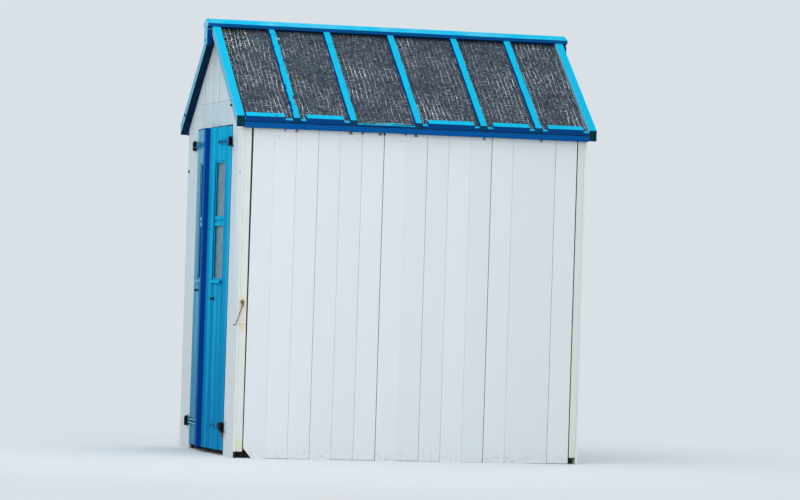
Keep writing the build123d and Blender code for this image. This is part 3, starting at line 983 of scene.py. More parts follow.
@dataclass(frozen=True)
class Finishes:
    """All materials of the hut, made once."""

    white: Material = made(SidePaint())
    back_white: Material = made(
        WhitePaint("back_white_paint", faces=(0.0, 1.0, 0.0), corner_reach=0.748)
    )
    gable: Material = made(GablePaint())
    post: Material = made(PostPaint())
    # Pale front colours below are fading and painted sky reflection; dark end colours are painted
    # shade.
    roof_blue: Material = made(
        BluePaint("ridge_blue", Grain.ALONG_Y, front="93CCE0", faded="66CCE6", end="00508F")
    )
    eave_blue: Material = made(
        BluePaint("eave_blue", Grain.ALONG_Y, end="003E7C", wood="051726", chip_level=0.67)
    )
    slope_blue: Material = made(BluePaint("slope_blue", Grain.ALONG_X, end="063B5C"))
    worn_blue: Material = made(
        BluePaint("worn_blue", Grain.ALONG_X, end="063B5C", wood="1F4454", chip_level=0.63)
    )
    verge_blue: Material = made(
        BluePaint("verge_blue", Grain.ALONG_X, front="74B6D2", end="07313C")
    )
    fascia_blue: Material = made(
        BluePaint("fascia_blue", Grain.ALONG_Y, end="00549A", faded="0B72BE", chip_level=0.71)
    )
    apex_blue: Material = made(
        BluePaint("apex_blue", Grain.ALONG_Z, front="74CAE0", end="00367C")
    )
    left_door: Material = made(
        DoorPaint(
            "left_door_blue", "52B0D2", "84CCE0", "166E94", chalk_share=0.5, speckles=0.8
        )
    )
    right_door: Material = made(
        DoorPaint("right_door_blue", chalk_share=0.03, rot_place=(0.455, 0.138))
    )
    astragal: Material = made(
        DoorPaint("astragal_blue", "0056A8", "0062B2", "004892", "003A8C", chalk_share=0.04)
    )
    felt: Material = made(Felt())
    floor: Material = made(BareTimber("floor_timber", Grain.ALONG_X))
    deck: Material = made(BareTimber("deck_timber", Grain.ALONG_Y, painted_reach=0.754))
    frame_x: Material = made(BareTimber("cross_timber", Grain.ALONG_X))
    frame_y: Material = made(BareTimber("long_timber", Grain.ALONG_Y))
    frame_z: Material = made(BareTimber("upright_timber", Grain.ALONG_Z, dirty_front=-1.045))
    damp_timber: Material = made(BareTimber("damp_timber", Grain.ALONG_Y, "3B352C", "26221D"))
    black_iron: Material = made(Iron("black_iron"))
    rusty_iron: Material = made(Iron("rusty_iron", coat="382616", rust_level=0.50))
    plate_iron: Material = made(PlatePaint())
    left_strap: Material = made(
        StrapPaint("left_strap_paint", -0.5, paint="2E86A8", stripe_share=0.85)
    )
    right_strap: Material = made(StrapPaint("right_strap_paint", 0.5, low_reach=0.10))
    old_wood: Material = made(BareTimber("torn_wood", Grain.ALONG_Y, "A9C6CE", "4A5A60"))
    glass: Material = made(PatternedGlass())
    # Painted shade deep in the joints
    grime: Material = made(Grime())


def trim(shape: BMesh, point: Iterable[float], outward: Iterable[float]) -> None:
    """Saw off what lies beyond a plane and close the cut.

    Args:
        shape: Shape to cut.
        point: Point on the plane.
        outward: Direction of the side that goes.
    """
    cut = bmesh.ops.bisect_plane(
        shape, geom=shape.verts[:] + shape.edges[:] + shape.faces[:],
        plane_co=Vector(point), plane_no=Vector(outward), clear_outer=True,
    )
    edges = [part for part in cut["geom_cut"] if isinstance(part, BMEdge)]
    if edges:
        bmesh.ops.contextual_create(shape, geom=edges)


def stand(outward: Vector, origin: Iterable[float], lengthwise: Vector = UP) -> Matrix:
    """Matrix that turns a bar's length and face to given directions.

    Args:
        outward: Direction that the bar's upper face takes.
        origin: Place of the bar's start.
        lengthwise: Direction that the bar's length takes.

    Returns:
        The turning and moving matrix.
    """
    across = outward.cross(lengthwise)
    turn = Matrix((lengthwise, across, outward)).transposed()
    return Matrix.Translation(Vector(origin)) @ turn.to_4x4()


def quarter(degrees: float = 90.0) -> Matrix:
    """Turn about Z that lays a bar's length along the hut."""
    return Matrix.Rotation(radians(degrees), 4, "Z")


def link(name: str, data: bpy.types.ID) -> Object:
    """Put an object into the scene.

    Args:
        name: Name of the object.
        data: Its mesh, light or camera.

    Returns:
        The new object.
    """
    item = bpy.data.objects.new(name, data)
    bpy.context.scene.collection.objects.link(item)
    return item


class Piece:
    """One mesh of the scene, put together from closed shapes, that rides on a body."""

    def __init__(self, name: str, body: str, *finishes: Material) -> None:
        """Start an empty piece.

        Args:
            name: Name of the piece.
            body: Body of the frame that carries it.
            *finishes: Materials, in the order that shapes number them.
        """
        self.name = name
        self.body = body
        self.finishes = finishes
        self.mesh = bpy.data.meshes.new(name)
        self.whole = bmesh.new()
        self.whole.faces.layers.float.new("tone")
        self.odds = random.Random(name)

    def add(
        self,
        shape: BMesh,
        place: Matrix | None = None,
        finish: int = 0,
        tone: float | None = None,
        smooth: bool = False,
    ) -> None:
        """Put a shape into the piece.

        Args:
            shape: Closed shape; it is used up.
            place: Where the shape goes, or None where it is already there.
            finish: Number of its material.
            tone: Shade of the shape from 0 to 1, or None for one by chance.
            smooth: Whether its faces are shaded smooth.
        """
        if place is not None:
            bmesh.ops.transform(shape, matrix=place, verts=shape.verts)
        bmesh.ops.recalc_face_normals(shape, faces=shape.faces)
        layer = shape.faces.layers.float.new("tone")
        shade = self.odds.random() if tone is None else tone
        for face in shape.faces:
            face[layer] = shade
            face.material_index = finish
            face.smooth = smooth
        part = bpy.data.meshes.new("part")
        shape.to_mesh(part)
        self.whole.from_mesh(part)
        bpy.data.meshes.remove(part)
        shape.free()

    def finish(self, *replaced: str, slot: str, turn: Matrix | None = None) -> None:
        """Close the piece and give it to the frame.

        Args:
            *replaced: Nodes of the frame that the piece stands for.
            slot: Material slot of the record that its finish comes from; not used.
            turn: Last movement of the whole piece, or None.
        """
        if turn is not None:
            bmesh.ops.transform(self.whole, matrix=turn, verts=self.whole.verts)
        self.whole.to_mesh(self.mesh)
        self.whole.free()
        for material in self.finishes:
            self.mesh.materials.append(material)
        item = link(self.name, self.mesh)
        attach(item, self.body)
        if replaced:
            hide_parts(*replaced)
        log.info("%s: %d faces on %s", self.name, len(self.mesh.polygons), self.body)


def dress(node: str, material: Material, softness: float = 0.0, rounded: bool = False) -> None:
    """Give a node of the frame its material, and soften its edges where it is a plain timber.

    Args:
        node: Name of the node.
        material: Finish of the whole node.
        softness: Width of the softened edges, or 0 to leave them.
        rounded: Whether the node is bent wire that is smoothed all round.
    """
    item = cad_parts[node]
    for slot in item.material_slots:
        slot.material = material
    if softness or rounded:
        item.modifiers.new("weld", "WELD").merge_threshold = 0.00002
    if softness:
        bevel = item.modifiers.new("soften", "BEVEL")
        bevel.width = softness
        bevel.segments = 2
        bevel.limit_method = "ANGLE"
        bevel.angle_limit = radians(40)
    if rounded:
        smooth = item.modifiers.new("rounded", "SUBSURF")
        smooth.levels = smooth.render_levels = 2
    log.info("%s: dressed with %s", node, material.name)


def wear(
    shape: BMesh, seed: float, wander: float, bite: float = 0.0, bite_level: float = 0.25
) -> None:
    """Bend a bar's long edges a little and bite pieces out of its upper edges.

    Args:
        shape: Bar that lies along X.
        seed: Number that sets this bar's own wear.
        wander: How far its edges stray sideways.
        bite: How deep the bites go, or 0 for none.
        bite_level: Level of the pattern above which an edge is bitten.
    """
    half = max(abs(vert.co.y) for vert in shape.verts)
    top = max(vert.co.z for vert in shape.verts)
    for vert in shape.verts:
        along = vert.co.x
        side = 1 if vert.co.y > 0 else -1
        stray = noise.noise(Vector((along * 11.0, seed, side * 3.7)))
        vert.co.y += wander * (stray - 0.5) * side
        if bite and abs(vert.co.y) > half * 0.6 and vert.co.z > top * 0.5:
            depth = noise.noise(Vector((along * 17.0, seed + 5.0, side * 9.1))) - bite_level
            depth *= 0.6 + 1.4 * noise.noise(Vector((along * 5.0, seed + 9.0, side * 2.3)))
            if depth > 0:
                bitten = min(bite, bite * depth * 5.0)
                vert.co.y -= side * bitten
                vert.co.z -= 0.4 * bitten


def nail_head(radius: float, height: float) -> BMesh:
    """Domed round head that faces up from Z = 0.

    Args:
        radius: Radius of the head.
        height: Height of its crown.

    Returns:
        The head's shape.
    """
    shape = bmesh.new()
    bmesh.ops.create_cone(
        shape, cap_ends=True, segments=14, radius1=radius, radius2=radius * 0.72, depth=height,
        matrix=Matrix.Translation((0, 0, height / 2)),
    )
    crown = [
        edge for edge in shape.edges if all(vert.co.z > height * 0.9 for vert in edge.verts)
    ]
    round_off(shape, crown, height * 0.35)
    return shape


@dataclass(frozen=True)
class Cladding:
    """Matched boards that stand side by side, with tongues behind the joints."""

    thickness: float
    groove: float = 0.0010
    foot_unevenness: float = 0.003
    face_unevenness: float = 0.0012
    tongue_setback: float = 0.006
    filled_setback: float = 0.0014
    tongue_width: float = 0.012
    tongue_depth: float = 0.003
    tongue_foot: float = 0.005
    tongue_shortness: float = 0.006
    wander: float = 0.0003
    cut_spacing: float = 0.16

    def lay(
        self,
        piece: Piece,
        outward: Vector,
        edges: Sequence[float],
        joints: Sequence[Joint],
        heights: Span,
        face: float,
        saw_cuts: Sequence[SawCut],
    ) -> None:
        """Lay the boards of one wall.

        Args:
            piece: Piece that takes the boards, with the painted joint shade as its second finish.
            outward: Direction that the boards face.
            edges: Places of the board edges across the wall, in rising order.
            joints: Joint at each inner edge.
            heights: Height of the boards' feet, and the one above which no board reaches.
            face: Distance of the boards' faces from the hut's middle.
            saw_cuts: Point and outward direction of each cut.
        """
        low, high = heights
        across = UP.cross(outward)
        across *= 1 if sum(across) > 0 else -1
        gaps = (0.0, *[joint.value for joint in joints], 0.0)
        for number, (start, end) in enumerate(zip(edges, edges[1:])):
            start += gaps[number] / 2
            end -= gaps[number + 1] / 2
            lift = piece.odds.uniform(0, self.foot_unevenness) if number % 3 else 0.0
            thickness = self.thickness - piece.odds.uniform(0, self.face_unevenness)
            length = high - low - lift
            cuts = int(length / self.cut_spacing)
            board = bar(length, end - start, thickness, self.groove, cuts, True)
            wear(board, piece.odds.uniform(0, 90), self.wander)
            origin = outward * (face - self.thickness) + across * (start + end) / 2
            place = stand(outward, origin + UP * (low + lift))
            self.place_cut(piece, board, place, saw_cuts, 0)
        length = high - low - self.tongue_shortness
        for edge, joint in zip(edges[1:-1], joints):
            tongue = bar(length, self.tongue_width, self.tongue_depth, 0.0, 0)
            # Painted joints get a tongue in the wall paint, set nearly flush; the others a tongue
            # in the dark painted joint shade
            full = joint is Joint.PAINTED
            setback = self.filled_setback if full else self.tongue_setback
            origin = outward * (face - setback - self.tongue_depth) + across * edge
            place = stand(outward, origin + UP * (low + self.tongue_foot))
            self.place_cut(piece, tongue, place, saw_cuts, 0 if full else 1)

    @staticmethod
    def place_cut(
        piece: Piece, shape: BMesh, place: Matrix, saw_cuts: Iterable[SawCut], finish: int
    ) -> None:
        """Stand a board in its place, saw it and add it to its piece.

        Args:
            piece: Piece that takes the board.
            shape: Board that lies along X.
            place: Matrix that stands it up.
            saw_cuts: Point and outward direction of each cut.
            finish: Number of its material.
        """
        bmesh.ops.transform(shape, matrix=place, verts=shape.verts)
        for point, outward in saw_cuts:
            trim(shape, point, outward)
        if shape.faces:
            piece.add(shape, finish=finish)
        else:
            shape.free()


@dataclass(frozen=True)
class Roofline:
    """Planes of the roof, read from the frame."""

    apex: float
    reach: float
    under_lift: float = -0.019

    @classmethod
    def read(cls) -> "Roofline":
        """Read the roof's shape from the right slope's felt."""
        _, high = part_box("roof_felt_right")
        return cls(apex=high.z, reach=high.x)

    @staticmethod
    def off(side: Side) -> Vector:
        """Direction straight off one slope."""
        return Vector((side.value * sin(PITCH), 0, cos(PITCH)))

    def slope(self, side: Side) -> Matrix:
        """Matrix from distances down a slope, along the hut and off the felt to the hut's frame.

        Args:
            side: Side of the roof.

        Returns:
            The turning and moving matrix.
        """
        down = Vector((side.value * cos(PITCH), 0, -sin(PITCH)))
        turn = Matrix((down, ALONG, self.off(side))).transposed()
        return Matrix.Translation((0, 0, self.apex)) @ turn.to_4x4()

    def under_cuts(self) -> list[SawCut]:
        """Saw cuts that follow the underside of both slopes."""
        point = UP * (self.apex + self.under_lift / cos(PITCH))
        return [(point, self.off(side)) for side in Side]


@dataclass(frozen=True)
class Walls:
    """Board walls of the hut, its corner posts and its gables."""

    finishes: Finishes
    roof: Roofline
    side_boards: int = 15
    panel_boards: int = 3
    gable_boards: int = 12
    back_boards: int = 12
    chamfer_run: float = 0.051
    chamfer_rise: float = 0.060
    shrinkage: float = 0.0055
    post_softness: float = 0.0025
    nail_radius: float = 0.003
    nail_height: float = 0.0007
    nail_sink: float = 0.0012
    nail_inset: float = 0.028
    nail_stray: float = 0.012
    nail_tone: float = 0.3
    rusty_share: float = 0.06
    nail_rows: tuple[float, ...] = (0.065, 0.98, 1.91)
    bare_corner: Span = (0.08, 0.1)

    def build(self) -> None:
        """Build every wall."""
        for side in Side:
            self.side_wall(side)
            self.nails(side)
            self.front(f"front_boards_{side.word}", f"front_wall_{side.word}", self.panel_boards)
        joints = (Joint.OPEN, Joint.OPEN, Joint.WIDE)
        self.front("gable_boards", "front_gable", self.gable_boards, joints)
        piece = Piece("back_boards", "hut", self.finishes.back_white, self.finishes.grime)
        joints = (Joint.SHUT, Joint.OPEN, Joint.WIDE)
        cuts = self.roof.under_cuts()
        self.wall(piece, "back_wall", ALONG, self.back_boards, joints, cuts)
        dress("corner_posts", self.finishes.post, self.post_softness)

    @staticmethod
    def evenly(low: float, high: float, count: int) -> list[float]:
        """Edges of equal boards from low to high."""
        return [low + (high - low) * number / count for number in range(count + 1)]

    def wall(
        self,
        piece: Piece,
        node: str,
        outward: Vector,
        count: int,
        joints: Sequence[Joint],
        saw_cuts: Sequence[SawCut],
    ) -> None:
        """Lay a wall in the place of its node.

        Args:
            piece: Piece that takes the boards.
            node: Node that the piece stands for.
            outward: Direction that the wall faces.
            count: Number of boards.
            joints: Joint at each inner edge, or a few kinds to draw them from by chance.
            saw_cuts: Point and outward direction of each cut.
        """
        low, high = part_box(node)
        through, across = (0, 1) if outward.x else (1, 0)
        if len(joints) < count - 1:
            joints = [piece.odds.choice(joints) for _ in range(count - 1)]
        edges = self.evenly(low[across], high[across], count)
        face = max(outward.dot(low), outward.dot(high))
        cladding = Cladding(high[through] - low[through])
        cladding.lay(piece, outward, edges, joints, (low.z, high.z), face, saw_cuts)
        piece.finish(node, slot="white_timber")

    def side_wall(self, side: Side) -> None:
        """Build one side wall, with its lower front corner sawn away.

        Args:
            side: Side of the hut; the right one has its joints as they show.
        """
        node = f"side_wall_{side.word}"
        low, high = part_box(node)
        piece = Piece(f"side_boards_{side.word}", "hut", self.finishes.white, self.finishes.grime)
        full, shut, gap, wide = Joint
        joints = (shut, shut, gap, gap, wide)
        if side is Side.RIGHT:
            joints = (
                full, shut, gap, shut, shut, wide, full, gap, shut, full, wide, shut, full, gap
            )
        chamfer = (0, low.y, low.z + self.chamfer_rise), (0, -self.chamfer_rise, -self.chamfer_run)
        shrunk = (0, low.y, low.z), (0, low.z - high.z, self.shrinkage)
        self.wall(piece, node, ACROSS * side.value, self.side_boards, joints, (chamfer, shrunk))

    def front(self, name: str, node: str, count: int, joints: Sequence[Joint] = ()) -> None:
        """Build boards of the front, under the slopes.

        Args:
            name: Name of the piece.
            node: Node that it stands for.
            count: Number of boards.
            joints: Kinds of joint to draw from by chance, or none for shut ones.
        """
        piece = Piece(name, "hut", self.finishes.gable, self.finishes.grime)
        joints = joints or [Joint.SHUT] * (count - 1)
        self.wall(piece, node, -ALONG, count, joints, self.roof.under_cuts())

    def nails(self, side: Side) -> None:
        """Nail one side wall to its rails, with a few heads rusted through the paint.

        Args:
            side: Side of the hut.
        """
        low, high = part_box(f"side_wall_{side.word}")
        finishes = self.finishes.white, self.finishes.rusty_iron
        piece = Piece(f"side_nails_{side.word}", "hut", *finishes)
        edges = self.evenly(low.y, high.y, self.side_boards)
        outward = ACROSS * side.value
        face = (high.x if side is Side.RIGHT else low.x) - side.value * self.nail_sink
        corner_width, corner_height = self.bare_corner
        for height in self.nail_rows:
            for start, end in zip(edges, edges[1:]):
                for place in (start + self.nail_inset, end - self.nail_inset):
                    if height < corner_height and place < low.y + corner_width:
                        continue
                    stray = piece.odds.uniform(-self.nail_stray, self.nail_stray)
                    rusty = int(piece.odds.random() < self.rusty_share)
                    seat = stand(outward, (face, place, height + stray))
                    head = nail_head(self.nail_radius, self.nail_height)
                    piece.add(head, seat, finish=rusty, tone=self.nail_tone, smooth=True)
        piece.finish(slot="white_timber")


@dataclass(frozen=True)
class Inside:
    """Floor and frame that show through the doorway."""

    finishes: Finishes
    floor_boards: int = 17
    floor_gap: float = 0.002
    softness: float = 0.0015

    def build(self) -> None:
        """Lay the floor and dress the frame."""
        low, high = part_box("floor")
        piece = Piece("floor_boards", "hut", self.finishes.floor)
        pitch = (high.y - low.y) / self.floor_boards
        for number in range(self.floor_boards):
            width = pitch - self.floor_gap
            board = bar(high.x - low.x, width, high.z - low.z, self.softness, 0)
            middle = low.y + pitch * (number + 0.5)
            piece.add(board, stand(UP, (low.x, middle, low.z), ACROSS))
        piece.finish("floor", slot="bare_timber")
        dress("floor_bearers", self.finishes.damp_timber, self.softness)
        for node in ("wall_rails", "purlins", "ridge_beam"):
            dress(node, self.finishes.frame_y, self.softness)
        dress("door_posts", self.finishes.frame_z, self.softness)
        dress("door_head", self.finishes.frame_x, self.softness)
        for side in Side:
            dress(f"roof_deck_{side.word}", self.finishes.deck)


@dataclass(frozen=True)
class Bolt:
    """Dark bolt on the front of the hut, seated on the front face of a node."""

    node: str
    x: float
    z: float
    radius: float
    proud: float


@dataclass(frozen=True)
class Roof:
    """Felt, battens, verges and ridge of the roof."""

    finishes: Finishes
    roof: Roofline
    timber_softness: float = 0.003
    wear_spacing: float = 0.012
    batten_start: float = 0.049
    batten_width: float = 0.044
    batten_play: float = 0.001
    batten_depth: float = 0.025
    batten_places: tuple[float, ...] = (0.320, 0.667, 1.0725, 1.478, 1.825)
    batten_bite_level: float = 0.04
    batten_tone: float = 0.5
    sound_wear: Span = (0.0011, 0.0020)
    chewed_wear: Span = (0.0030, 0.0090)
    chewed_batten: int = 0
    strip_width: float = 0.040
    strip_spare: float = 0.030
    strip_wander: float = 0.0010
    strip_bite: float = 0.0015
    strip_bite_level: float = 0.1
    strip_tone: float = 0.6
    stub_width: float = 0.020
    stub_depth: float = 0.012
    stub_gap: float = 0.001
    stub_length: float = 0.036
    stub_tone: float = 0.4
    first_stubs: Span = (0.009, 0.049)
    worn_bay: int = 2
    worn_tone: float = 0.3
    worn_seed: float = 41.0
    worn_wander: float = 0.004
    splinters: int = 22
    splinter_lengths: Span = (0.03, 0.16)
    splinter_widths: Span = (0.003, 0.010)
    splinter_depths: Span = (0.0015, 0.004)
    splinter_insets: Span = (0.030, 0.014)
    splinter_lifts: Span = (0.003, 0.008)
    splinter_lean: float = 3.0
    splinter_softness: float = 0.0004
    splinter_wander: float = 0.003
    splinter_cuts: int = 6
    fascia_joint: float = -0.700
    fascia_half_gap: float = 0.0006
    fascia_softness: float = 0.0025
    fascia_spacing: float = 0.05
    fascia_wear: tuple[float, float, float] = (0.0012, 0.0015, 0.15)
    ridge_rise: float = 0.031
    ridge_nails: int = 7
    ridge_nail_reach: float = 0.045
    ridge_nail: Span = (0.0034, 0.0014)
    ridge_nail_sink: float = 0.0005
    nail_runs: tuple[float, ...] = (0.10, 0.36, 0.62, 0.88)
    nail_stray: float = 0.008
    batten_nail: Span = (0.0032, 0.0012)
    batten_nail_sink: float = 0.0006
    bolt_seat: float = 0.0008
    bolts: tuple[Bolt, ...] = (
        Bolt("front_verge_right", 0.637, 2.092, 0.009, 0.010),
        Bolt("front_verge_right", -0.655, 2.080, 0.009, 0.010),
        Bolt("apex_boards", 0.009, 2.513, 0.008, 0.004),
        Bolt("front_wall_right", -0.715, 1.729, 0.010, 0.008),
        Bolt("front_wall_right", 0.712, 1.696, 0.005, 0.004),
    )

    def build(self) -> None:
        """Dress the felt and the ridge, and build the worn battens, strips and fascias."""
        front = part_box("front_wall_right")[0].y
        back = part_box("back_wall")[1].y
        for side in Side:
            dress(f"roof_felt_{side.word}", self.finishes.felt)
            dress(f"ridge_board_{side.word}", self.finishes.roof_blue, self.timber_softness)
            for node in ("front_verge", "back_verge"):
                dress(f"{node}_{side.word}", self.finishes.verge_blue, self.timber_softness)
            self.battens(side, front)
            self.strips(side, front, back)
        dress("apex_boards", self.finishes.apex_blue, self.timber_softness)
        self.fascias()
        self.nails(front)

    @property
    def slope_length(self) -> float:
        """Distance down a slope from the ridge to the eave."""
        return self.roof.reach / cos(PITCH)

    def sawn(
        self,
        side: Side,
        size: Sequence[float],
        softness: float,
        lay: Matrix,
        wears: Sequence[float],
    ) -> BMesh:
        """Worn timber on a slope, sawn plumb where it passes the eave.

        Args:
            side: Side of the roof.
            size: Length, width and depth.
            softness: Width of its softened edges.
            lay: Where it lies on the slope.
            wears: Seed, wander, bite and bite level of its wear.

        Returns:
            The timber in the hut's frame.
        """
        shape = bar(*size, softness, int(size[0] / self.wear_spacing))
        wear(shape, *wears)
        bmesh.ops.transform(shape, matrix=self.roof.slope(side) @ lay, verts=shape.verts)
        trim(shape, ACROSS * side.value * self.roof.reach, ACROSS * side.value)
        return shape

    def battens(self, side: Side, front: float) -> None:
        """Build the battens of one slope, one of them badly chewed on the right.

        Args:
            side: Side of the roof.
            front: Place of the front wall's face.
        """
        finishes = self.finishes.slope_blue, self.finishes.worn_blue
        piece = Piece(f"batten_bars_{side.word}", "hut", *finishes)
        length = self.slope_length - self.batten_start
        size = length, self.batten_width - self.batten_play, self.batten_depth
        for number, place in enumerate(self.batten_places):
            chewed = side is Side.RIGHT and number == self.chewed_batten
            wander, bite = self.chewed_wear if chewed else self.sound_wear
            wears = number * 7.3 + side.value, wander, bite, self.batten_bite_level
            lay = Matrix.Translation((self.batten_start, front + place, 0))
            shape = self.sawn(side, size, self.timber_softness, lay, wears)
            piece.add(shape, finish=int(chewed), tone=self.batten_tone)
        piece.finish(f"roof_battens_{side.word}", slot="blue_timber")

    def strip(
        self,
        side: Side,
        span: Span,
        width: float,
        depth: float,
        seed: float,
        wander: float,
    ) -> BMesh:
        """Timber that lies along the eave, cut plumb with it.

        Args:
            side: Side of the roof.
            span: Start and end along the hut.
            width: Width of its upper face.
            depth: Height off the felt.
            seed: Number that sets its own wear.
            wander: How far its edges stray.

        Returns:
            The timber in the hut's frame.
        """
        start, end = span
        size = end - start, width + self.strip_spare, depth
        softness = min(self.timber_softness, depth / 4)
        upper_run = (self.roof.reach - depth * sin(PITCH)) / cos(PITCH) - width
        lay = Matrix.Translation((upper_run + size[1] / 2, start, 0)) @ quarter()
        wears = seed, wander, self.strip_bite, self.strip_bite_level
        return self.sawn(side, size, softness, lay, wears)

    def strips(self, side: Side, front: float, back: float) -> None:
        """Build the eave strips of one slope: stubs, sound middles and the splintered bay.

        Args:
            side: Side of the roof.
            front: Place of the front wall's face.
            back: Place of the back wall's face.
        """
        finishes = self.finishes.eave_blue, self.finishes.old_wood
        piece = Piece(f"eave_bars_{side.word}", "hut", *finishes)
        half = self.batten_width / 2
        starts = [0.0, *[place + half for place in self.batten_places]]
        ends = [*[place - half for place in self.batten_places], back - front]
        for bay, (start, end) in enumerate(zip(starts, ends)):
            start += front + self.stub_gap
            end += front - self.stub_gap
            if side is Side.RIGHT and bay == self.worn_bay:
                self.splinter(piece, side, start, end)
                continue
            seed = bay * 3.1 + side.value * 11.0
            before, after = self.first_stubs if bay == 0 else (self.stub_length, self.stub_length)
            middle = (start + before, end - after)
            for stub in ((start, middle[0]), (middle[1], end)):
                shape = self.strip(side, stub, self.stub_width, self.stub_depth, seed, 0.0)
                piece.add(shape, tone=self.stub_tone)
            size = self.strip_width, self.batten_depth
            shape = self.strip(side, middle, *size, seed + 1.0, self.strip_wander)
            piece.add(shape, tone=self.strip_tone)
        piece.finish(f"eave_strips_{side.word}", slot="blue_timber")

    def splinter(self, piece: Piece, side: Side, start: float, end: float) -> None:
        """Lay the torn layers that are left of a strip.

        Args:
            piece: Piece that takes them.
            side: Side of the roof.
            start: Start of the bay.
            end: End of the bay.
        """
        odds = piece.odds
        size = self.stub_width * 0.7, self.stub_depth * 0.5
        layer = self.strip(side, (start, end), *size, self.worn_seed, self.worn_wander)
        piece.add(layer, tone=self.worn_tone)
        first_inset, last_inset = self.splinter_insets
        for number in range(self.splinters):
            length = odds.uniform(*self.splinter_lengths)
            along = odds.uniform(start, end - length)
            size = odds.uniform(*self.splinter_widths), odds.uniform(*self.splinter_depths)
            shape = bar(length, *size, self.splinter_softness, self.splinter_cuts)
            wear(shape, number * 5.0, self.splinter_wander)
            run = odds.uniform(self.slope_length - first_inset, self.slope_length - last_inset)
            spot = run, along, odds.uniform(*self.splinter_lifts)
            lean = odds.uniform(-self.splinter_lean, self.splinter_lean)
            lay = Matrix.Translation(spot) @ quarter(90 + lean)
            place = self.roof.slope(side) @ lay
            piece.add(shape, place, finish=number % 2, tone=odds.random())

    def fascias(self) -> None:
        """Build both fascias, each in two lengths that meet at a joint."""
        piece = Piece("fascia_boards", "hut", self.finishes.fascia_blue)
        low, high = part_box("fascias")
        thickness = high.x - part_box("roof_deck_right")[1].x
        before = self.fascia_joint - self.fascia_half_gap
        after = self.fascia_joint + self.fascia_half_gap
        for side in Side:
            for start, end in ((low.y, before), (after, high.y)):
                cuts = int((end - start) / self.fascia_spacing)
                height = high.z - low.z
                shape = bar(end - start, height, thickness, self.fascia_softness, cuts)
                wear(shape, start * 9.0, *self.fascia_wear)
                outward = ACROSS * side.value
                middle = UP * (low.z + high.z) / 2
                origin = outward * (high.x - thickness) + ALONG * start + middle
                piece.add(shape, stand(outward, origin, ALONG))
        piece.finish("fascias", slot="blue_timber")

    def nails(self, front: float) -> None:
        """Drive the nails of the battens and the ridge, and the dark bolts of the front.

        Args:
            front: Place of the front wall's face.
        """
        piece = Piece("roof_nails", "hut", self.finishes.black_iron)
        for side in Side:
            for place in self.batten_places:
                for run in self.nail_runs:
                    stray = piece.odds.uniform(-self.nail_stray, self.nail_stray)
                    lift = self.batten_depth - self.batten_nail_sink
                    spot = run + stray, front + place + stray * 0.6, lift
                    seat = self.roof.slope(side) @ Matrix.Translation(spot)
                    piece.add(nail_head(*self.batten_nail), seat, smooth=True)
        low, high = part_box("ridge_board_right")
        step = (high.y - low.y) / self.ridge_nails
        height = high.z - self.ridge_rise * self.ridge_nail_reach / high.x
        for side in Side:
            crown = Vector((side.value * self.ridge_rise, 0, high.x)).normalized()
            for number in range(self.ridge_nails):
                along = low.y + step * (number + 0.5)
                spot = Vector((side.value * self.ridge_nail_reach, along, height))
                seat = stand(crown, spot - crown * self.ridge_nail_sink, ALONG)
                piece.add(nail_head(*self.ridge_nail), seat, smooth=True)
        for bolt in self.bolts:
            seat = bolt.x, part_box(bolt.node)[0].y + self.bolt_seat, bolt.z
            piece.add(nail_head(bolt.radius, bolt.proud), stand(-ALONG, seat), smooth=True)
        piece.finish(slot="black_iron")


@dataclass(frozen=True)
class Strip:
    """Upright strip of a leaf's board, measured from the meeting edge."""

    start: float
    end: float
    starts_joint: bool
    ends_joint: bool


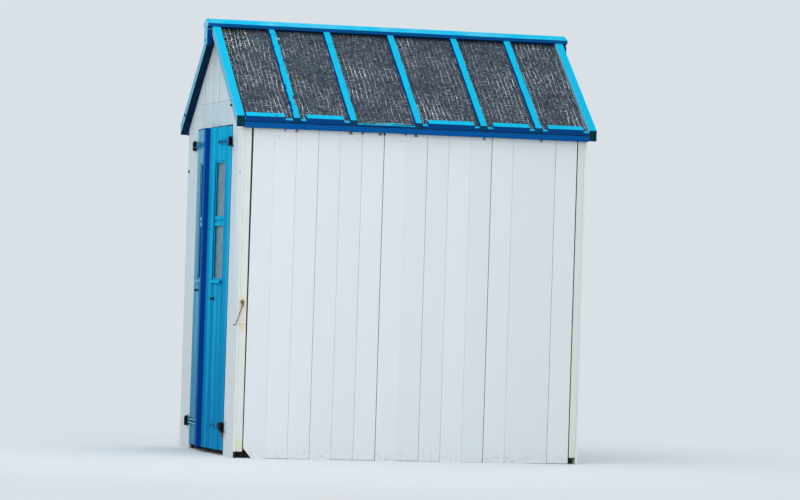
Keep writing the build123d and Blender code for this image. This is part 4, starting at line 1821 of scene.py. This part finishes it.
@dataclass(frozen=True)
class Leaf:
    """One leaf of the door, drawn closed and then swung ajar on its pins."""

    finishes: Finishes
    side: Side
    width: float = 0.472
    meeting_edge: float = 0.003
    stile: float = 0.133
    board_pitch: float = 0.059
    full_boards: int = 8
    thickness: float = 0.018
    strap_thickness: float = 0.004
    front: float = -1.0725
    pin_x: float = 0.500
    pin_y: float = -1.0905
    ajar: float = radians(3.5)
    groove: float = 0.0042
    hinge_heights: Span = (0.172, 1.884)
    bolt_places: tuple[float, ...] = (0.143, 0.208, 0.276)
    bolt_radius: float = 0.0078
    bolt_height: float = 0.0045
    bolt_sink: float = 0.0006

    @property
    def body(self) -> str:
        """Body of the frame that carries the leaf."""
        return f"door_{self.side.word}"

    @property
    def paint(self) -> Material:
        """Finish of the leaf's boards."""
        return self.finishes.left_door if self.side is Side.LEFT else self.finishes.right_door

    def swing(self) -> Matrix:
        """Movement that takes a closed leaf to its rest ajar."""
        pin = Matrix.Translation((self.side.value * self.pin_x, self.pin_y, 0))
        return pin @ Matrix.Rotation(self.side.value * self.ajar, 4, "Z") @ pin.inverted()

    def build(self) -> None:
        """Build the leaf."""
        self.boards()
        for node, finish, softness in (
            ("door_ledges", self.paint, 0.002),
            ("window_sash", self.paint, 0.0015),
            ("window_sill", self.paint, 0.0015),
            ("window_glass", self.finishes.glass, 0.0),
            ("door_knob", self.finishes.black_iron, 0.0),
        ):
            dress(f"{node}_{self.side.word}", finish, softness)
        if self.side is Side.LEFT:
            dress("astragal", self.finishes.astragal)
        self.bolts()

    def bolts(self) -> None:
        """Drive the coach bolts through both straps."""
        piece = Piece(f"strap_bolts_{self.side.word}", self.body, self.finishes.black_iron)
        seat = self.front - self.strap_thickness + self.bolt_sink
        for height in self.hinge_heights:
            for place in self.bolt_places:
                spot = (self.side.value * (self.pin_x - place), seat, height)
                head = nail_head(self.bolt_radius, self.bolt_height)
                piece.add(head, stand(-ALONG, spot), smooth=True)
        piece.finish(slot="black_iron", turn=self.swing())

    def board_strips(self) -> list[Strip]:
        """Split the leaf's boards where the window's edges cross them.

        Returns:
            The strips from the meeting edge outwards.
        """
        strips = []
        edges = [number * self.board_pitch for number in range(self.full_boards)] + [self.width]
        for start, end in zip(edges, edges[1:]):
            splits = [
                place for place in (self.stile, self.width - self.stile) if start < place < end
            ]
            marks = [start, *splits, end]
            for left, right in zip(marks, marks[1:]):
                strips.append(Strip(left, right, left == start, right == end))
        return strips

    def strip(self, piece: Piece, strip: Strip, low: float, high: float, tone: float) -> None:
        """Add one upright strip of a board.

        Args:
            piece: Piece that takes the strip.
            strip: Its place across the leaf.
            low: Height of its foot.
            high: Height of its head.
            tone: Shade of its board.
        """
        shape = bar(high - low, strip.end - strip.start, self.thickness, 0.0, 0)
        joint_edges = []
        for edge in shape.edges:
            first, second = edge.verts
            upright = abs(first.co.x - second.co.x) > TINY
            outer = min(first.co.z, second.co.z) > self.thickness - TINY
            at_end = (first.co.y < 0) == (self.side is Side.LEFT)
            if upright and outer and (strip.ends_joint if at_end else strip.starts_joint):
                joint_edges.append(edge)
        if joint_edges:
            round_off(shape, joint_edges, self.groove)
        middle = self.side.value * (self.meeting_edge + (strip.start + strip.end) / 2)
        piece.add(shape, stand(-ALONG, (middle, self.front + self.thickness, low)), tone=tone)

    def boards(self) -> None:
        """Build the matched boards around the window opening."""
        node = f"door_boards_{self.side.word}"
        low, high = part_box(node)
        window_low, window_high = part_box(f"window_sash_{self.side.word}")
        piece = Piece(f"leaf_boards_{self.side.word}", self.body, self.paint)
        tone, number = 0.5, 0
        for strip in self.board_strips():
            if strip.starts_joint:
                number += 1
                tone = piece.odds.uniform(0.0, 0.35) + 0.55 * (number % 2)
            beside = strip.start < self.stile - TINY or strip.end > self.width - self.stile + TINY
            if beside:
                self.strip(piece, strip, low.z, high.z, tone)
            else:
                self.strip(piece, strip, low.z, window_low.z, tone)
                self.strip(piece, strip, window_high.z, high.z, tone)
        piece.finish(node, slot="door_timber", turn=self.swing())


@dataclass(frozen=True)
class Ironwork:
    """Hinges, screw eyes and cabin hooks."""

    finishes: Finishes

    def build(self) -> None:
        """Dress the ironwork."""
        dress("hinge_plates", self.finishes.plate_iron, 0.001)
        dress("hinge_straps_left", self.finishes.left_strap, 0.0008)
        dress("hinge_straps_right", self.finishes.right_strap, 0.0008)
        for node in ("screw_eyes", "hook_left", "hook_right"):
            dress(node, self.finishes.rusty_iron, rounded=True)


@dataclass(frozen=True)
class Lamp:
    """Soft square lamp that faces the middle of the hut."""

    name: str
    place: tuple[float, float, float]
    size: float
    power: float
    aim_height: float = 1.2

    def hang(self) -> None:
        """Hang the lamp."""
        data = bpy.data.lights.new(self.name, "AREA")
        data.shape = "SQUARE"
        data.size = self.size
        data.energy = self.power
        lamp = link(self.name, data)
        lamp.location = self.place
        ahead = UP * self.aim_height - Vector(self.place)
        lamp.rotation_euler = ahead.to_track_quat("-Z", "Y").to_euler()


@dataclass(frozen=True)
class FloorPaint(Finish):
    """Matt paint of the floor, which gives way to the backdrop's colour far from the hut."""

    name: str = "studio_floor"
    colour: str = "E2E7EA"
    shade: str = "DDE2E6"
    backdrop: str = "DAE1E6"
    fade_start: float = 1.7
    fade_end: float = 5.0

    def lay(self, sheet: Sheet) -> None:
        """Lay the paint and the backdrop's colour.

        Args:
            sheet: Node sheet to work on.
        """
        paint = sheet.tint(sheet.mottle(3.0), self.colour, self.shade)
        matt = sheet.add("ShaderNodeBsdfDiffuse", {"Color": paint})
        far = sheet.add("ShaderNodeEmission", {"Color": self.backdrop, "Strength": 1.0})
        away = sheet.add("ShaderNodeVectorMath", {0: sheet.place}, "Value", operation="LENGTH")
        share = away.band(self.fade_start, self.fade_end) * Studio.seen(sheet)
        mix = sheet.add("ShaderNodeMixShader", {0: share, 1: matt, 2: far})
        sheet.node("ShaderNodeOutputMaterial", {"Surface": mix})


@dataclass(frozen=True)
class Studio:
    """Floor, light and camera."""

    floor_radius: float = 30.0
    floor_paint: FloorPaint = FloorPaint()
    daylight: str = "F2F6FA"
    daylight_strength: float = 0.72
    lamps: tuple[Lamp, ...] = (
        Lamp("overhead", (1.5, -1.5, 8.0), 7.0, 190.0),
        Lamp("front_side", (7.5, -6.0, 4.0), 5.0, 250.0),
        Lamp("back_side", (-7.0, 6.0, 5.0), 5.0, 120.0),
    )
    camera_place: tuple[float, float, float] = (22.232, -6.0425, 1.013)
    camera_yaw: float = radians(74.5)
    camera_pitch: float = radians(0.644)
    camera_roll: float = radians(1.782)
    lens: float = 167.45
    sensor_width: float = 36.0

    def build(self) -> None:
        """Set up the studio."""
        self.floor()
        self.world()
        for lamp in self.lamps:
            lamp.hang()
        self.camera()

    def floor(self) -> None:
        """Lay a pale floor."""
        shape = bmesh.new()
        bmesh.ops.create_circle(shape, cap_ends=True, segments=96, radius=self.floor_radius)
        mesh = bpy.data.meshes.new("floor_disc")
        shape.to_mesh(mesh)
        shape.free()
        disc = link("floor_disc", mesh)
        mesh.materials.append(self.floor_paint.make())

    @staticmethod
    def seen(sheet: Sheet) -> Wire:
        """Find where the backdrop is seen, mirrored or seen through glass.

        Args:
            sheet: Node sheet to work on.

        Returns:
            Wire that is 1 there.
        """
        rays = ("Glossy", "Transmission", "Camera")
        first, second, third = (
            sheet.add("ShaderNodeLightPath", {}, f"Is {ray} Ray") for ray in rays
        )
        return first.larger(second).larger(third)

    def world(self) -> None:
        """Light the scene from all round, with a pale backdrop for the camera."""
        world = bpy.data.worlds.new("studio")
        bpy.context.scene.world = world
        sheet = Sheet(world)
        light = {"Color": self.daylight, "Strength": self.daylight_strength}
        shown = {"Color": self.floor_paint.backdrop, "Strength": 1.0}
        light, shown = (sheet.add("ShaderNodeBackground", inputs) for inputs in (light, shown))
        mix = sheet.add("ShaderNodeMixShader", {0: self.seen(sheet), 1: light, 2: shown})
        sheet.node("ShaderNodeOutputWorld", {"Surface": mix})

    def camera(self) -> None:
        """Stand the camera where the photograph was taken, turned to show the whole hut."""
        yaw, pitch, roll = self.camera_yaw, self.camera_pitch, self.camera_roll
        ahead = Vector((-sin(yaw) * cos(pitch), cos(yaw) * cos(pitch), sin(pitch)))
        right = ahead.cross(UP).normalized()
        over = right.cross(ahead)
        across = right * cos(roll) + over * sin(roll)
        above = over * cos(roll) - right * sin(roll)
        turn = Matrix((across, above, -ahead)).transposed().to_4x4()
        data = bpy.data.cameras.new("camera")
        data.sensor_width = self.sensor_width
        data.lens = self.lens
        camera = link("camera", data)
        camera.matrix_world = Matrix.Translation(self.camera_place) @ turn
        bpy.context.scene.camera = camera


def main() -> None:
    """Build the hut's pieces in order and set up the studio."""
    logging.basicConfig(level=logging.INFO, format="%(message)s")
    bpy.context.scene.view_settings.view_transform = "Standard"
    finishes = Finishes()
    roofline = Roofline.read()
    Walls(finishes, roofline).build()
    Inside(finishes).build()
    Roof(finishes, roofline).build()
    for side in Side:
        Leaf(finishes, side).build()
    Ironwork(finishes).build()
    Studio().build()


if __name__ == "__main__":
    main()
